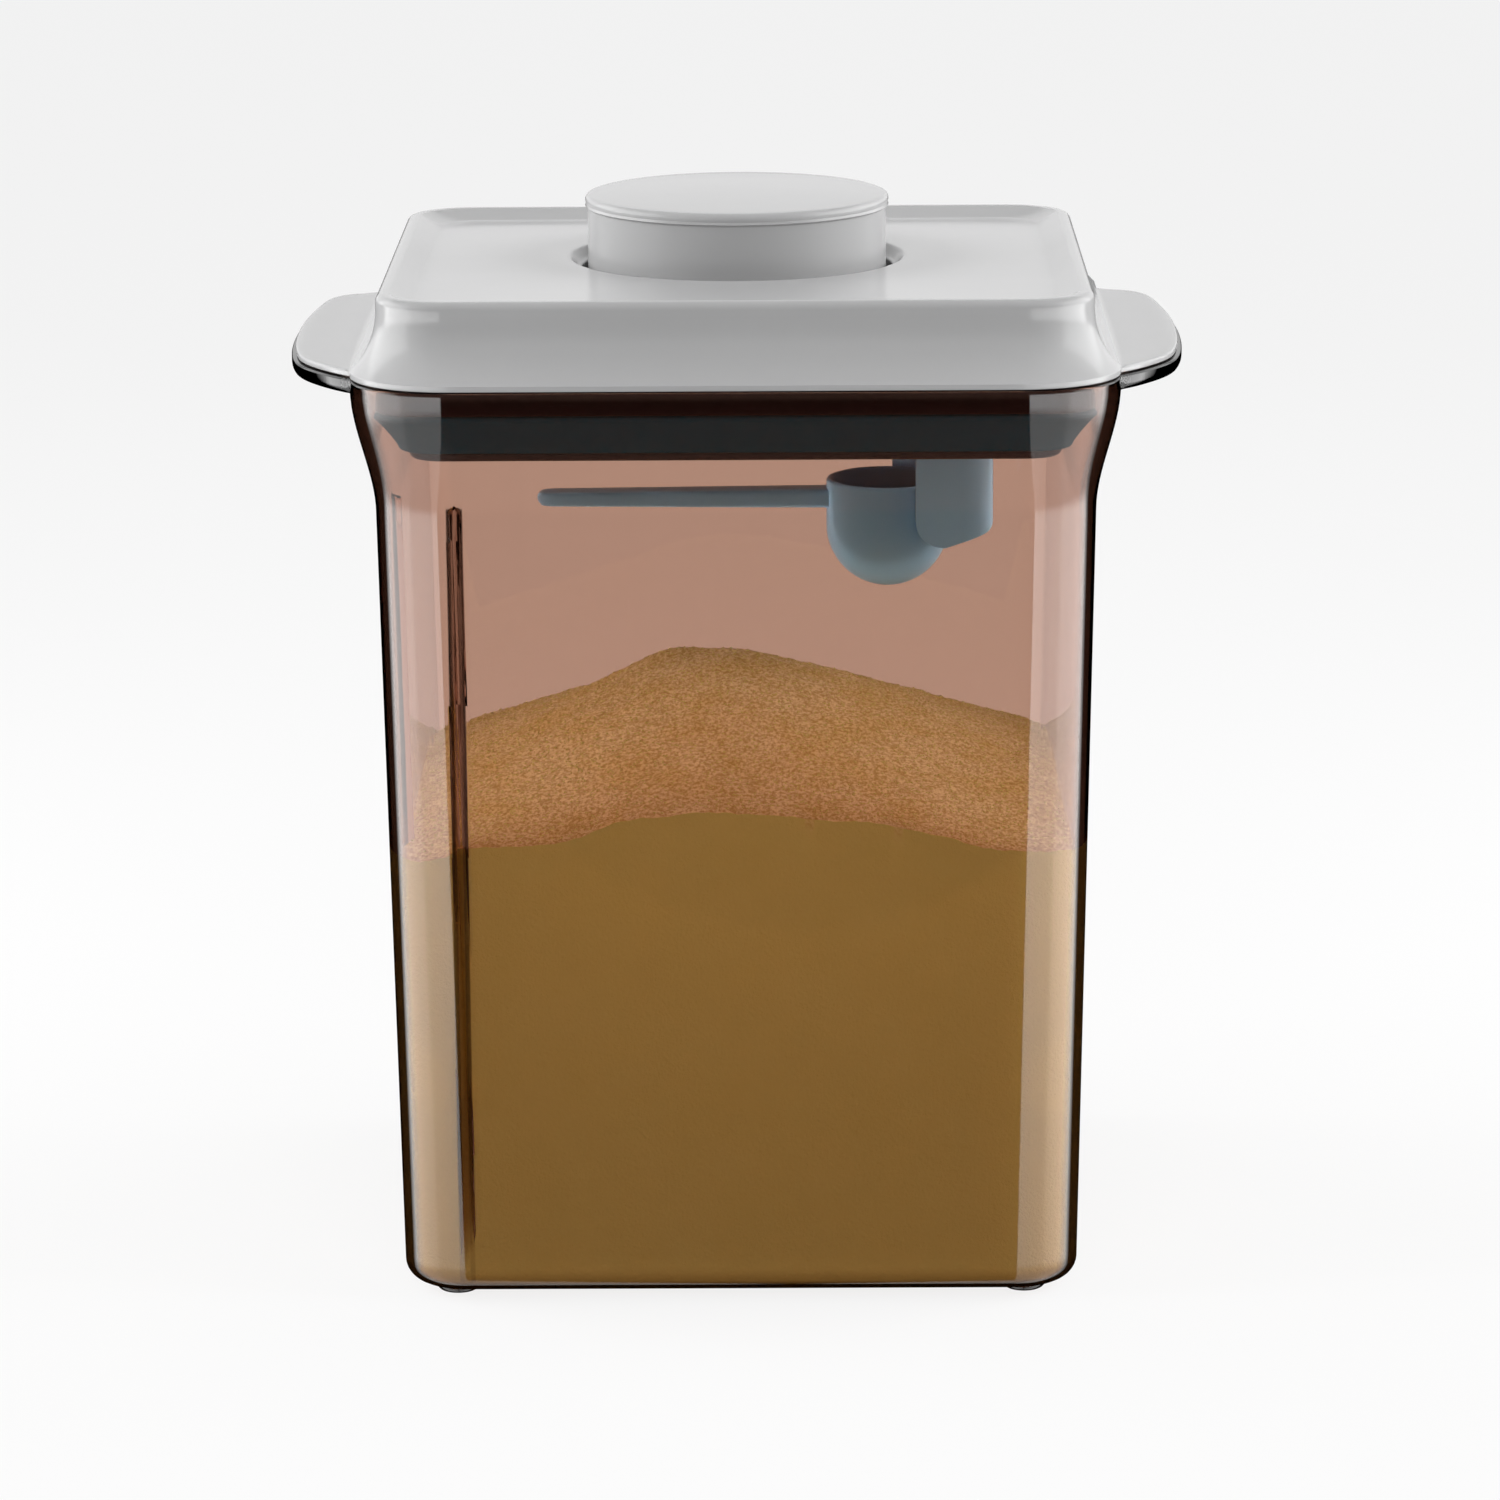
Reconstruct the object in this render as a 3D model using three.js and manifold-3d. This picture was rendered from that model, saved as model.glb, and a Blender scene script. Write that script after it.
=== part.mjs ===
// Airtight milk powder container: a clear amber jar with two ears, a grey lid with a push button,
// a sealing ring, a scoop in its clip under the lid, and a heap of milk powder.
// Millimetres, +Z up, +X to the right, front towards -Y. The origin is on the table, under the middle.

import * as THREE from 'three';
import { mergeVertices } from 'three/addons/utils/BufferGeometryUtils.js';
import Module from 'manifold-3d';

const wasm = await Module();
wasm.setup();

// Whole object
const EAR_HALF_SPAN = 87.5;
const TOTAL_HEIGHT = 209;
const PLAN_DIFFERENCE = 2.5; // every rounded rectangle is this much shorter from the middle to the front
const FITTING_GAP = 0.3;

// Jar
const JAR_TOP = 181.5;
const JAR_BASE = 1.8;
const FLOOR_TOP = 5.2;
const WALL = 2.4;
const BASE_HALF_WIDTH = 66.05;
const SHOULDER_HALF_WIDTH = 68.8;
const MOUTH_HALF_WIDTH = 73.4;
const FLARE_START = 156;
const FLARE_END = 179.5;
const BASE_CORNER_RADIUS = 12.5;
const MOUTH_CORNER_RADIUS = 18.5;
const BASE_FILLET = 4;
const FLOOR_FILLET = 3.5;
const EAR_THICKNESS = 3;
const EAR_EDGE = 1.2;
const EAR_HALF_LENGTH = 50;
const EAR_MIDDLE_Y = -4;
const FOOT = { x: 55.6, y: 53.6, radius: 4.5, sole: 3.2 };
const RIB = { width: 2.7, depth: 2.1, bottom: 7, top: 158.9, frontX: -53.3, sideY: -51 };

// Lid
const RIM_HALF_WIDTH = 73.5;
const RIM_HALF_DEPTH = 71;
const RIM_BOTTOM = JAR_TOP + FITTING_GAP;
const RIM_LIP = 1.1;
const CREST_HALF_WIDTH = 68.4;
const CREST_HALF_DEPTH = 63.6;
const CREST_TOP = 197.6;
const CREST_ROUNDING = 1.6;
const CREST_FLAT = 1;
const CREST_CORNER_RADIUS = 13;
const TRAY_TOP = 195.6;
const TRAY_HALF_WIDTH = 61.5;
const TRAY_HALF_DEPTH = 56.8;
const TRAY_CORNER_RADIUS = 8;
const LID_WALL = 1.8;
const FLARE_POWER = 2.6;
const LID_EAR_INSET = 0.8;
const LID_EAR_THICKNESS = 1.2;
const LID_EAR_EDGE = 0.4;
const BUTTON_Y = 8;
const BUTTON_HOLE_RADIUS = 30.9;
const DISH_RADIUS = 33.5;
const DISH_DEPTH = 1.8;
const SLEEVE_WALL = 1.7;
const SLEEVE_BOTTOM = 183;

// Push button
const BUTTON_RADIUS = 29.2;
const BUTTON_FLANGE_RADIUS = 30.2;
const BUTTON_WALL = 1.8;
const BUTTON_BOTTOM = 190;
const BUTTON_DOME = 0.9;

// Plug and sealing ring
const PLUG_BOTTOM = 166.8;
const PLUG_FLOOR = 168.8;
const LOWER_FLANGE = { half: 62.2, top: 168.4, edge: 1.2 };
const UPPER_FLANGE = { half: 67.9, bottom: 176.4, top: 181.2 };
const PLUG_NECK_HALF = 59.6;
const PLUG_RISER_HALF = 62.4;
const PLUG_WALL = 2;
const PLUG_CORNER = { radius: 5, growth: 0.39 };
const SEAL = { bottomHalf: 64.2, middleHalf: 66.6, topHalf: 68.3, edge: 0.8, cornerRadius: 7 };

// Scoop and its clip
const SCOOP_X = 29.8;
const SCOOP_RADIUS = 12.2;
const SCOOP_WALL = 1.2;
const SCOOP_RIM = 152.3;
const SCOOP_BALL_Z = 142.5;
const HANDLE = { tipX: -40.2, z: 148.5, rootHeight: 3.7, tipHeight: 2.6, width: 7 };
const CLIP = { frontX: 35.2, backX: 31, endX: 50.6, halfDepth: 14.6, endRadius: 6, clearance: 0.5 };
const CLIP_SIDE = { frontZ: 145.5, lowX: 41, lowZ: 140.4, endZ: 143.6 };

// Milk powder
const HEAP = { x: -1.3, y: -4.6, top: 116.7, blunt: 8.7, slope: 0.354, leftExtra: 0.025 };
const PEAK = { x: -15.2, y: 4, height: 2.9, spread: 7 };
const HEAP_CELLS = 30;
const HEAP_HALF = 72;
const LUMP_HEIGHT = 0.2;

// Fineness
const CORNER_STEPS = 8;
const EAR_STEPS = 5;
const EDGE_STEPS = 2;
const ROUND_STEPS = 56;

// The corner points of a rounded rectangle, counterclockwise, at one height
function ring(halfWidth, halfDepth, radius, z) {
  const points = [];
  const centres = [[1, 1], [-1, 1], [-1, -1], [1, -1]];
  centres.forEach(([sx, sy], quarter) => {
    for (let i = 0; i <= CORNER_STEPS; i += 1) {
      const angle = (quarter + i / CORNER_STEPS) * Math.PI / 2;
      points.push([
        sx * (halfWidth - radius) + radius * Math.cos(angle),
        sy * (halfDepth - radius) + radius * Math.sin(angle),
        z,
      ]);
    }
  });
  return points;
}

// A ring whose depth is less than its width by the object's usual difference
function boxRing(halfWidth, radius, z) {
  return ring(halfWidth, halfWidth - PLAN_DIFFERENCE, radius, z);
}

// A closed skin over rings of equally many points: capped at both ends, or joined end to start
function skin(rings, joined = false) {
  const count = rings[0].length;
  const index = [];
  const bands = joined ? rings.length : rings.length - 1;
  for (let band = 0; band < bands; band += 1) {
    const low = band * count;
    const high = ((band + 1) % rings.length) * count;
    for (let i = 0; i < count; i += 1) {
      const next = (i + 1) % count;
      index.push(low + i, low + next, high + next, low + i, high + next, high + i);
    }
  }
  if (!joined) {
    const last = (rings.length - 1) * count;
    for (let i = 1; i < count - 1; i += 1) {
      index.push(0, i + 1, i);
      index.push(last, last + i, last + i + 1);
    }
  }
  const geometry = new THREE.BufferGeometry();
  geometry.setAttribute('position', new THREE.Float32BufferAttribute(rings.flat(2), 3));
  geometry.setIndex(index);
  return geometry;
}

function signedVolume(vertices, triangles) {
  const a = new THREE.Vector3();
  const b = new THREE.Vector3();
  const c = new THREE.Vector3();
  let volume = 0;
  for (let i = 0; i < triangles.length; i += 3) {
    a.fromArray(vertices, triangles[i] * 3);
    b.fromArray(vertices, triangles[i + 1] * 3);
    c.fromArray(vertices, triangles[i + 2] * 3);
    volume += a.dot(b.cross(c)) / 6;
  }
  return volume;
}

// A solid from a closed geometry, with its faces turned outwards
function solid(geometry) {
  const bare = geometry.clone();
  bare.deleteAttribute('normal');
  bare.deleteAttribute('uv');
  const merged = mergeVertices(bare, 1e-4);
  const vertProperties = Float32Array.from(merged.getAttribute('position').array);
  let triVerts = Uint32Array.from(merged.getIndex().array);
  if (signedVolume(vertProperties, triVerts) < 0) {
    triVerts = triVerts.map((_, i, all) => all[i - (i % 3) + 2 - (i % 3)]);
  }
  return new wasm.Manifold(new wasm.Mesh({ numProp: 3, vertProperties, triVerts }));
}

function geometryOf(body) {
  const mesh = body.getMesh();
  const geometry = new THREE.BufferGeometry();
  geometry.setAttribute('position', new THREE.BufferAttribute(Float32Array.from(mesh.vertProperties), 3));
  geometry.setIndex(Array.from(mesh.triVerts));
  return geometry;
}

// A turned solid about a vertical axis, from a profile of [radius, height]
function turned(profile, x, y, steps = ROUND_STEPS) {
  const geometry = new THREE.LatheGeometry(profile.map(([r, z]) => new THREE.Vector2(r, z)), steps);
  geometry.rotateX(Math.PI / 2);
  geometry.translate(x, y, 0);
  return solid(geometry);
}

// A prism with its outline in the XY plane
function standing(shape, bottom, top, edge = 0, steps = CORNER_STEPS) {
  const geometry = new THREE.ExtrudeGeometry(shape, {
    depth: top - bottom - 2 * edge,
    bevelEnabled: edge > 0,
    bevelThickness: edge,
    bevelSize: edge,
    bevelOffset: -edge,
    bevelSegments: EDGE_STEPS,
    curveSegments: steps,
  });
  geometry.translate(0, 0, bottom + edge);
  return solid(geometry);
}

// A prism with its outline in the XZ plane, from one depth to another
function crosswise(shape, front, back, edge = 0) {
  const geometry = new THREE.ExtrudeGeometry(shape, {
    depth: back - front - 2 * edge,
    bevelEnabled: edge > 0,
    bevelThickness: edge,
    bevelSize: edge,
    bevelOffset: -edge,
    bevelSegments: EDGE_STEPS,
    curveSegments: CORNER_STEPS,
  });
  geometry.rotateX(Math.PI / 2);
  geometry.translate(0, back - edge, 0);
  return solid(geometry);
}

// Half the jar's outer width at a height, before the base's rounding
function jarHalfWidth(z) {
  const rise = (z - JAR_BASE) / (FLARE_START - JAR_BASE);
  if (z <= FLARE_START) return THREE.MathUtils.lerp(BASE_HALF_WIDTH, SHOULDER_HALF_WIDTH, rise);
  const flare = THREE.MathUtils.smoothstep(z, FLARE_START, FLARE_END);
  return THREE.MathUtils.lerp(SHOULDER_HALF_WIDTH, MOUTH_HALF_WIDTH, flare);
}

function jarCornerRadius(z) {
  const flare = THREE.MathUtils.smoothstep(z, FLARE_START, FLARE_END);
  return THREE.MathUtils.lerp(BASE_CORNER_RADIUS, MOUTH_CORNER_RADIUS, flare);
}

// The jar's outer surface drawn in by an inset, with a rounded edge round its floor
function jarForm(inset, bottom, top, fillet) {
  const rings = [];
  const edgeSteps = 4;
  for (let i = 0; i <= edgeSteps; i += 1) {
    const angle = (i / edgeSteps) * Math.PI / 2;
    const z = bottom + fillet * (1 - Math.cos(angle));
    const draw = inset + fillet * (1 - Math.sin(angle));
    rings.push(boxRing(jarHalfWidth(z) - draw, jarCornerRadius(z) - draw, z));
  }
  const flareSteps = 7;
  for (let i = 0; i <= flareSteps; i += 1) {
    const z = THREE.MathUtils.lerp(FLARE_START, FLARE_END, i / flareSteps);
    rings.push(boxRing(jarHalfWidth(z) - inset, jarCornerRadius(z) - inset, z));
  }
  rings.push(boxRing(MOUTH_HALF_WIDTH - inset, MOUTH_CORNER_RADIUS - inset, top));
  return solid(skin(rings));
}

// The outline of one ear, seen from above, drawn in by an inset on its free edge: each half runs
// out of the jar's side, round a corner and along the tip, as [distance from the tip, from the end]
const EAR_ROOT = [14.9, 0];
const EAR_FRONT = [
  [[14, 0.6], [10.9, 3.6], [8.7, 6.9]],
  [[6.2, 10.6], [3.4, 15], [2.2, 20.5]],
  [[0.9, 26.5], [0, 36], [0, EAR_HALF_LENGTH]],
];
const EAR_BACK = [
  [[13, 3.5], [11.5, 4.8], [8.7, 5.7]],
  [[4.7, 6.8], [2.9, 11], [2.3, 17]],
  [[0.9, 29], [0, 38], [0, EAR_HALF_LENGTH]],
];

function earShape(side, inset = 0) {
  const at = (end) => ([fromTip, fromEnd]) => [
    side * (EAR_HALF_SPAN - fromTip - inset),
    EAR_MIDDLE_Y + end * Math.max(EAR_HALF_LENGTH - fromEnd - inset, 0),
  ];
  const near = at(-1);
  const far = at(1);
  const root = side * (EAR_HALF_SPAN - EAR_ROOT[0] - 6);
  const shape = new THREE.Shape();
  shape.moveTo(root, near(EAR_ROOT)[1]);
  shape.lineTo(...near(EAR_ROOT));
  for (const curve of EAR_FRONT) shape.bezierCurveTo(...curve.flatMap(near));
  const back = [EAR_ROOT, ...EAR_BACK.flat()].reverse();
  for (let i = 1; i < back.length; i += 3) shape.bezierCurveTo(...back.slice(i, i + 3).flatMap(far));
  shape.lineTo(root, far(EAR_ROOT)[1]);
  return shape;
}

// A tall slot outline with round ends
function slotShape(centre, halfWidth, bottom, top) {
  const shape = new THREE.Shape();
  shape.moveTo(centre - halfWidth, bottom);
  shape.lineTo(centre + halfWidth, bottom);
  shape.lineTo(centre + halfWidth, top - halfWidth);
  shape.absarc(centre, top - halfWidth, halfWidth, 0, Math.PI, false);
  return shape;
}

// The two upright ribs beside the front left corner, grown by a clearance, outside an inner surface
function ribs(clearance) {
  const half = RIB.width / 2 + clearance;
  const reach = 24;
  const front = crosswise(
    slotShape(RIB.frontX, half, RIB.bottom - clearance, RIB.top + clearance),
    RIB.sideY - reach,
    RIB.sideY,
  );
  const profile = slotShape(RIB.sideY, half, RIB.bottom - clearance, RIB.top + clearance);
  const side = crosswise(profile, -RIB.frontX, -RIB.frontX + reach).rotate([0, 0, 90]);
  const core = jarForm(WALL + RIB.depth + clearance, FLOOR_TOP, JAR_TOP, FLOOR_FILLET);
  return front.add(side).subtract(core);
}

function jarBody() {
  const outer = jarForm(0, JAR_BASE, JAR_TOP, BASE_FILLET);
  const cavity = jarForm(WALL, FLOOR_TOP, JAR_TOP + 5, FLOOR_FILLET);
  let body = outer;
  for (const side of [-1, 1]) {
    body = body.add(standing(earShape(side), JAR_TOP - EAR_THICKNESS, JAR_TOP, EAR_EDGE, EAR_STEPS));
    for (const end of [-1, 1]) {
      const foot = [[0, 0], [FOOT.sole, 0], [FOOT.radius - 0.7, 0.6], [FOOT.radius, JAR_BASE + 0.6], [0, JAR_BASE + 0.6]];
      body = body.add(turned(foot, side * FOOT.x, end * FOOT.y, 20));
    }
  }
  return body.subtract(cavity).add(ribs(0).intersect(outer));
}

// How far the lid's skirt has drawn in at a height, from 0 at the rim to 1 under the crest
function skirtDraw(z) {
  const rise = (z - RIM_BOTTOM - RIM_LIP) / (CREST_TOP - CREST_ROUNDING - RIM_BOTTOM - RIM_LIP);
  return 1 - (1 - THREE.MathUtils.clamp(rise, 0, 1)) ** FLARE_POWER;
}

function skirtRing(z, inset) {
  const draw = skirtDraw(z);
  return ring(
    THREE.MathUtils.lerp(RIM_HALF_WIDTH, CREST_HALF_WIDTH, draw) - inset,
    THREE.MathUtils.lerp(RIM_HALF_DEPTH, CREST_HALF_DEPTH, draw) - inset,
    THREE.MathUtils.lerp(MOUTH_CORNER_RADIUS + 1, CREST_CORNER_RADIUS, draw) - inset,
    z,
  );
}

function lidShell() {
  const underside = TRAY_TOP - LID_WALL;
  const rings = [ring(TRAY_HALF_WIDTH, TRAY_HALF_DEPTH, TRAY_CORNER_RADIUS, TRAY_TOP)];
  const crestInset = CREST_ROUNDING + CREST_FLAT;
  rings.push(ring(
    CREST_HALF_WIDTH - crestInset,
    CREST_HALF_DEPTH - crestInset,
    CREST_CORNER_RADIUS - crestInset,
    CREST_TOP,
  ));
  const roundingSteps = 3;
  for (let i = 0; i <= roundingSteps; i += 1) {
    const angle = (i / roundingSteps) * Math.PI / 2;
    const draw = CREST_ROUNDING * (1 - Math.sin(angle));
    rings.push(ring(
      CREST_HALF_WIDTH - draw,
      CREST_HALF_DEPTH - draw,
      CREST_CORNER_RADIUS - draw,
      CREST_TOP - CREST_ROUNDING * (1 - Math.cos(angle)),
    ));
  }
  const outerHeights = [193, 190.5, 188.4, 186.8, 185.5, 184.5, 183.6, RIM_BOTTOM + RIM_LIP, RIM_BOTTOM];
  for (const z of outerHeights) rings.push(skirtRing(z, 0));
  const innerHeights = [RIM_BOTTOM, 184, 186, 189, underside];
  for (const z of innerHeights) rings.push(skirtRing(z, LID_WALL));

  let shell = solid(skin(rings));
  const rimSpace = [RIM_BOTTOM - 1, RIM_BOTTOM + LID_EAR_THICKNESS + 1].map((z) => (
    ring(RIM_HALF_WIDTH - 1, RIM_HALF_DEPTH - 1, MOUTH_CORNER_RADIUS, z)
  ));
  for (const side of [-1, 1]) {
    const outline = earShape(side, LID_EAR_INSET);
    const ear = standing(outline, RIM_BOTTOM, RIM_BOTTOM + LID_EAR_THICKNESS, LID_EAR_EDGE, EAR_STEPS);
    shell = shell.add(ear.subtract(solid(skin(rimSpace))));
  }
  const sleeveRadius = BUTTON_HOLE_RADIUS + SLEEVE_WALL;
  const sleeve = [[0, SLEEVE_BOTTOM], [sleeveRadius, SLEEVE_BOTTOM], [sleeveRadius, TRAY_TOP - 1], [0, TRAY_TOP - 1]];
  const hole = [
    [0, SLEEVE_BOTTOM - 1],
    [BUTTON_HOLE_RADIUS, SLEEVE_BOTTOM - 1],
    [BUTTON_HOLE_RADIUS, TRAY_TOP - DISH_DEPTH],
    [DISH_RADIUS, TRAY_TOP],
    [DISH_RADIUS, TRAY_TOP + 1],
    [0, TRAY_TOP + 1],
  ];
  return shell.add(turned(sleeve, 0, BUTTON_Y)).subtract(turned(hole, 0, BUTTON_Y));
}

function pushButton() {
  const shoulder = TOTAL_HEIGHT - BUTTON_DOME;
  const faceRadius = BUTTON_FLANGE_RADIUS - 1.1;
  const profile = [];
  const domeSteps = 4;
  for (let i = 0; i <= domeSteps; i += 1) {
    const r = (i / domeSteps) * faceRadius;
    profile.push([r, TOTAL_HEIGHT - BUTTON_DOME * (r / faceRadius) ** 2]);
  }
  profile.push([BUTTON_FLANGE_RADIUS - 0.3, shoulder - 0.4]);
  profile.push([BUTTON_FLANGE_RADIUS, shoulder - 1.1]);
  profile.push([BUTTON_FLANGE_RADIUS - 0.2, shoulder - 1.9]);
  profile.push([BUTTON_RADIUS, shoulder - 2.5]);
  profile.push([BUTTON_RADIUS, BUTTON_BOTTOM]);
  profile.push([BUTTON_RADIUS - BUTTON_WALL, BUTTON_BOTTOM]);
  profile.push([BUTTON_RADIUS - BUTTON_WALL, shoulder - 2.6]);
  profile.push([0, shoulder - 2.6]);
  return turned(profile, 0, BUTTON_Y);
}

// The pan that closes the lid from below and carries the sealing ring
function lidPlug() {
  const cornerRadius = (half) => PLUG_CORNER.radius + (half - PLUG_NECK_HALF) * PLUG_CORNER.growth;
  const rise = (half, z) => boxRing(half, cornerRadius(half), z);
  const riserTop = TRAY_TOP - LID_WALL - FITTING_GAP;
  const riserInner = PLUG_RISER_HALF - PLUG_WALL;
  const neckInner = PLUG_NECK_HALF - PLUG_WALL;
  const step = UPPER_FLANGE.bottom + PLUG_WALL;
  return solid(skin([
    rise(LOWER_FLANGE.half - LOWER_FLANGE.edge, PLUG_BOTTOM),
    rise(LOWER_FLANGE.half, PLUG_BOTTOM + LOWER_FLANGE.edge),
    rise(LOWER_FLANGE.half, LOWER_FLANGE.top),
    rise(PLUG_NECK_HALF, LOWER_FLANGE.top),
    rise(PLUG_NECK_HALF, UPPER_FLANGE.bottom),
    rise(UPPER_FLANGE.half, UPPER_FLANGE.bottom),
    rise(UPPER_FLANGE.half, UPPER_FLANGE.top),
    rise(PLUG_RISER_HALF, UPPER_FLANGE.top),
    rise(PLUG_RISER_HALF, riserTop),
    rise(riserInner, riserTop),
    rise(riserInner, step),
    rise(neckInner, step),
    rise(neckInner, PLUG_FLOOR),
  ]));
}

function sealingRing() {
  const bottom = LOWER_FLANGE.top + FITTING_GAP;
  const top = UPPER_FLANGE.bottom - FITTING_GAP;
  const inner = PLUG_NECK_HALF + FITTING_GAP;
  return solid(skin([
    boxRing(SEAL.bottomHalf - SEAL.edge, SEAL.cornerRadius, bottom),
    boxRing(SEAL.bottomHalf, SEAL.cornerRadius, bottom + SEAL.edge),
    boxRing(SEAL.middleHalf, SEAL.cornerRadius + 1, (bottom + top) / 2),
    boxRing(SEAL.topHalf, SEAL.cornerRadius + 2, top - SEAL.edge),
    boxRing(SEAL.topHalf - SEAL.edge, SEAL.cornerRadius + 2, top),
    boxRing(inner, PLUG_CORNER.radius, top),
    boxRing(inner, PLUG_CORNER.radius, bottom),
  ], true));
}

// A bowl profile: a round bottom under a straight side, from its lowest point up to the rim
function bowlProfile(radius, rim) {
  const profile = [];
  const steps = 8;
  for (let i = 0; i <= steps; i += 1) {
    const angle = (i / steps) * Math.PI / 2;
    profile.push([radius * Math.sin(angle), SCOOP_BALL_Z - radius * Math.cos(angle)]);
  }
  profile.push([radius, rim], [0, rim]);
  return profile;
}

function scoop() {
  const tip = HANDLE.tipHeight / 2;
  const root = HANDLE.rootHeight / 2;
  const side = new THREE.Shape();
  side.moveTo(SCOOP_X - 4, HANDLE.z - root);
  side.lineTo(SCOOP_X - 4, HANDLE.z + root);
  side.lineTo(HANDLE.tipX + tip, HANDLE.z + tip);
  side.absarc(HANDLE.tipX + tip, HANDLE.z, tip, Math.PI / 2, Math.PI * 1.5, false);
  const plan = new THREE.Shape();
  const half = HANDLE.width / 2;
  plan.moveTo(SCOOP_X, -half);
  plan.lineTo(SCOOP_X, half);
  plan.lineTo(HANDLE.tipX + half, half);
  plan.absarc(HANDLE.tipX + half, 0, half, Math.PI / 2, Math.PI * 1.5, false);
  const handle = crosswise(side, -half, half).intersect(standing(plan, HANDLE.z - 5, HANDLE.z + 5));
  const bowl = turned(bowlProfile(SCOOP_RADIUS, SCOOP_RIM), SCOOP_X, 0, 40);
  const hollow = turned(bowlProfile(SCOOP_RADIUS - SCOOP_WALL, SCOOP_RIM + 2), SCOOP_X, 0, 40);
  return bowl.add(handle).subtract(hollow);
}

// A bracket that hangs from the plug and hugs the scoop's bowl from the right
function scoopClip() {
  const plan = new THREE.Shape();
  plan.moveTo(CLIP.backX, -CLIP.halfDepth);
  plan.lineTo(CLIP.endX - CLIP.endRadius, -CLIP.halfDepth);
  plan.absarc(CLIP.endX - CLIP.endRadius, CLIP.endRadius - CLIP.halfDepth, CLIP.endRadius, -Math.PI / 2, 0, false);
  plan.absarc(CLIP.endX - CLIP.endRadius, CLIP.halfDepth - CLIP.endRadius, CLIP.endRadius, 0, Math.PI / 2, false);
  plan.lineTo(CLIP.backX, CLIP.halfDepth);
  const top = PLUG_BOTTOM - FITTING_GAP;
  const outline = (leftX) => {
    const side = new THREE.Shape();
    side.moveTo(leftX, top);
    side.lineTo(leftX, CLIP_SIDE.frontZ);
    side.quadraticCurveTo(leftX + 0.6, CLIP_SIDE.lowZ + 0.8, CLIP_SIDE.lowX, CLIP_SIDE.lowZ);
    side.lineTo(CLIP.endX - 1.6, CLIP_SIDE.endZ - 0.5);
    side.quadraticCurveTo(CLIP.endX, CLIP_SIDE.endZ, CLIP.endX, CLIP_SIDE.endZ + 1.8);
    side.lineTo(CLIP.endX, top);
    return side;
  };
  const front = crosswise(outline(CLIP.frontX), -CLIP.halfDepth - 1, 0);
  const back = crosswise(outline(CLIP.backX), 0, CLIP.halfDepth + 1);
  const seat = SCOOP_RADIUS + CLIP.clearance;
  const space = turned([[0, 120], [seat, 120], [seat, top + 1], [0, top + 1]], SCOOP_X, 0, 40);
  return standing(plan, CLIP_SIDE.lowZ - 2, top).intersect(front.add(back)).subtract(space);
}

// The powder's height: a blunt cone, steeper to the left, with a small peak and soft lumps
function heapHeight(x, y) {
  const dx = x - HEAP.x;
  const dy = y - HEAP.y;
  const away = Math.hypot(dx, dy);
  const lean = away > 0 ? (1 - dx / away) / 2 : 0.5;
  const fall = (HEAP.slope + HEAP.leftExtra * lean) * (Math.hypot(away, HEAP.blunt) - HEAP.blunt);
  const lumps = Math.sin(x * 0.23 + 1.3) * Math.cos(y * 0.19 - 0.4)
    + 0.7 * Math.sin(x * 0.41 - y * 0.33 + 2.1)
    + 0.5 * Math.cos(x * 0.11 + y * 0.57);
  const peak = Math.exp(-((x - PEAK.x) ** 2 + (y - PEAK.y) ** 2) / (2 * PEAK.spread ** 2));
  return HEAP.top - fall + PEAK.height * peak + LUMP_HEIGHT * lumps;
}

function milkPowder() {
  const side = HEAP_CELLS + 1;
  const positions = [];
  const place = (i) => THREE.MathUtils.lerp(-HEAP_HALF, HEAP_HALF, i / HEAP_CELLS);
  for (const level of [0, 1]) {
    for (let j = 0; j < side; j += 1) {
      for (let i = 0; i < side; i += 1) {
        positions.push(place(i), place(j), level ? heapHeight(place(i), place(j)) : 0);
      }
    }
  }
  const index = [];
  const top = side * side;
  for (let j = 0; j < HEAP_CELLS; j += 1) {
    for (let i = 0; i < HEAP_CELLS; i += 1) {
      const a = j * side + i;
      const b = a + 1;
      const c = a + side;
      const d = c + 1;
      index.push(top + a, top + b, top + d, top + a, top + d, top + c);
      index.push(a, d, b, a, c, d);
    }
  }
  for (let i = 0; i < HEAP_CELLS; i += 1) {
    const far = HEAP_CELLS * side + i;
    index.push(i, i + 1, top + i + 1, i, top + i + 1, top + i);
    index.push(far + 1, far, top + far, far + 1, top + far, top + far + 1);
    const left = i * side;
    const right = left + HEAP_CELLS;
    index.push(left + side, left, top + left, left + side, top + left, top + left + side);
    index.push(right, right + side, top + right + side, right, top + right + side, top + right);
  }
  const heap = new THREE.BufferGeometry();
  heap.setAttribute('position', new THREE.Float32BufferAttribute(positions, 3));
  heap.setIndex(index);
  const room = jarForm(WALL + FITTING_GAP, FLOOR_TOP + FITTING_GAP, JAR_TOP, FLOOR_FILLET);
  return solid(heap).intersect(room).subtract(ribs(FITTING_GAP));
}

const finishes = {
  amber: { color: 0xb88b77, roughness: 0.05, metalness: 0, transparent: true, opacity: 0.45 },
  lidGrey: { color: 0xd2d2d2, roughness: 0.25, metalness: 0 },
  plugGrey: { color: 0x5c5450, roughness: 0.4, metalness: 0 },
  sealTeal: { color: 0x1e2625, roughness: 0.6, metalness: 0 },
  scoopTeal: { color: 0x545c5f, roughness: 0.45, metalness: 0 },
  powder: { color: 0xc9a36b, roughness: 0.95, metalness: 0 },
};

function piece(name, body, finish) {
  const mesh = new THREE.Mesh(geometryOf(body), new THREE.MeshStandardMaterial(finishes[finish]));
  mesh.name = name;
  return mesh;
}

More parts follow.
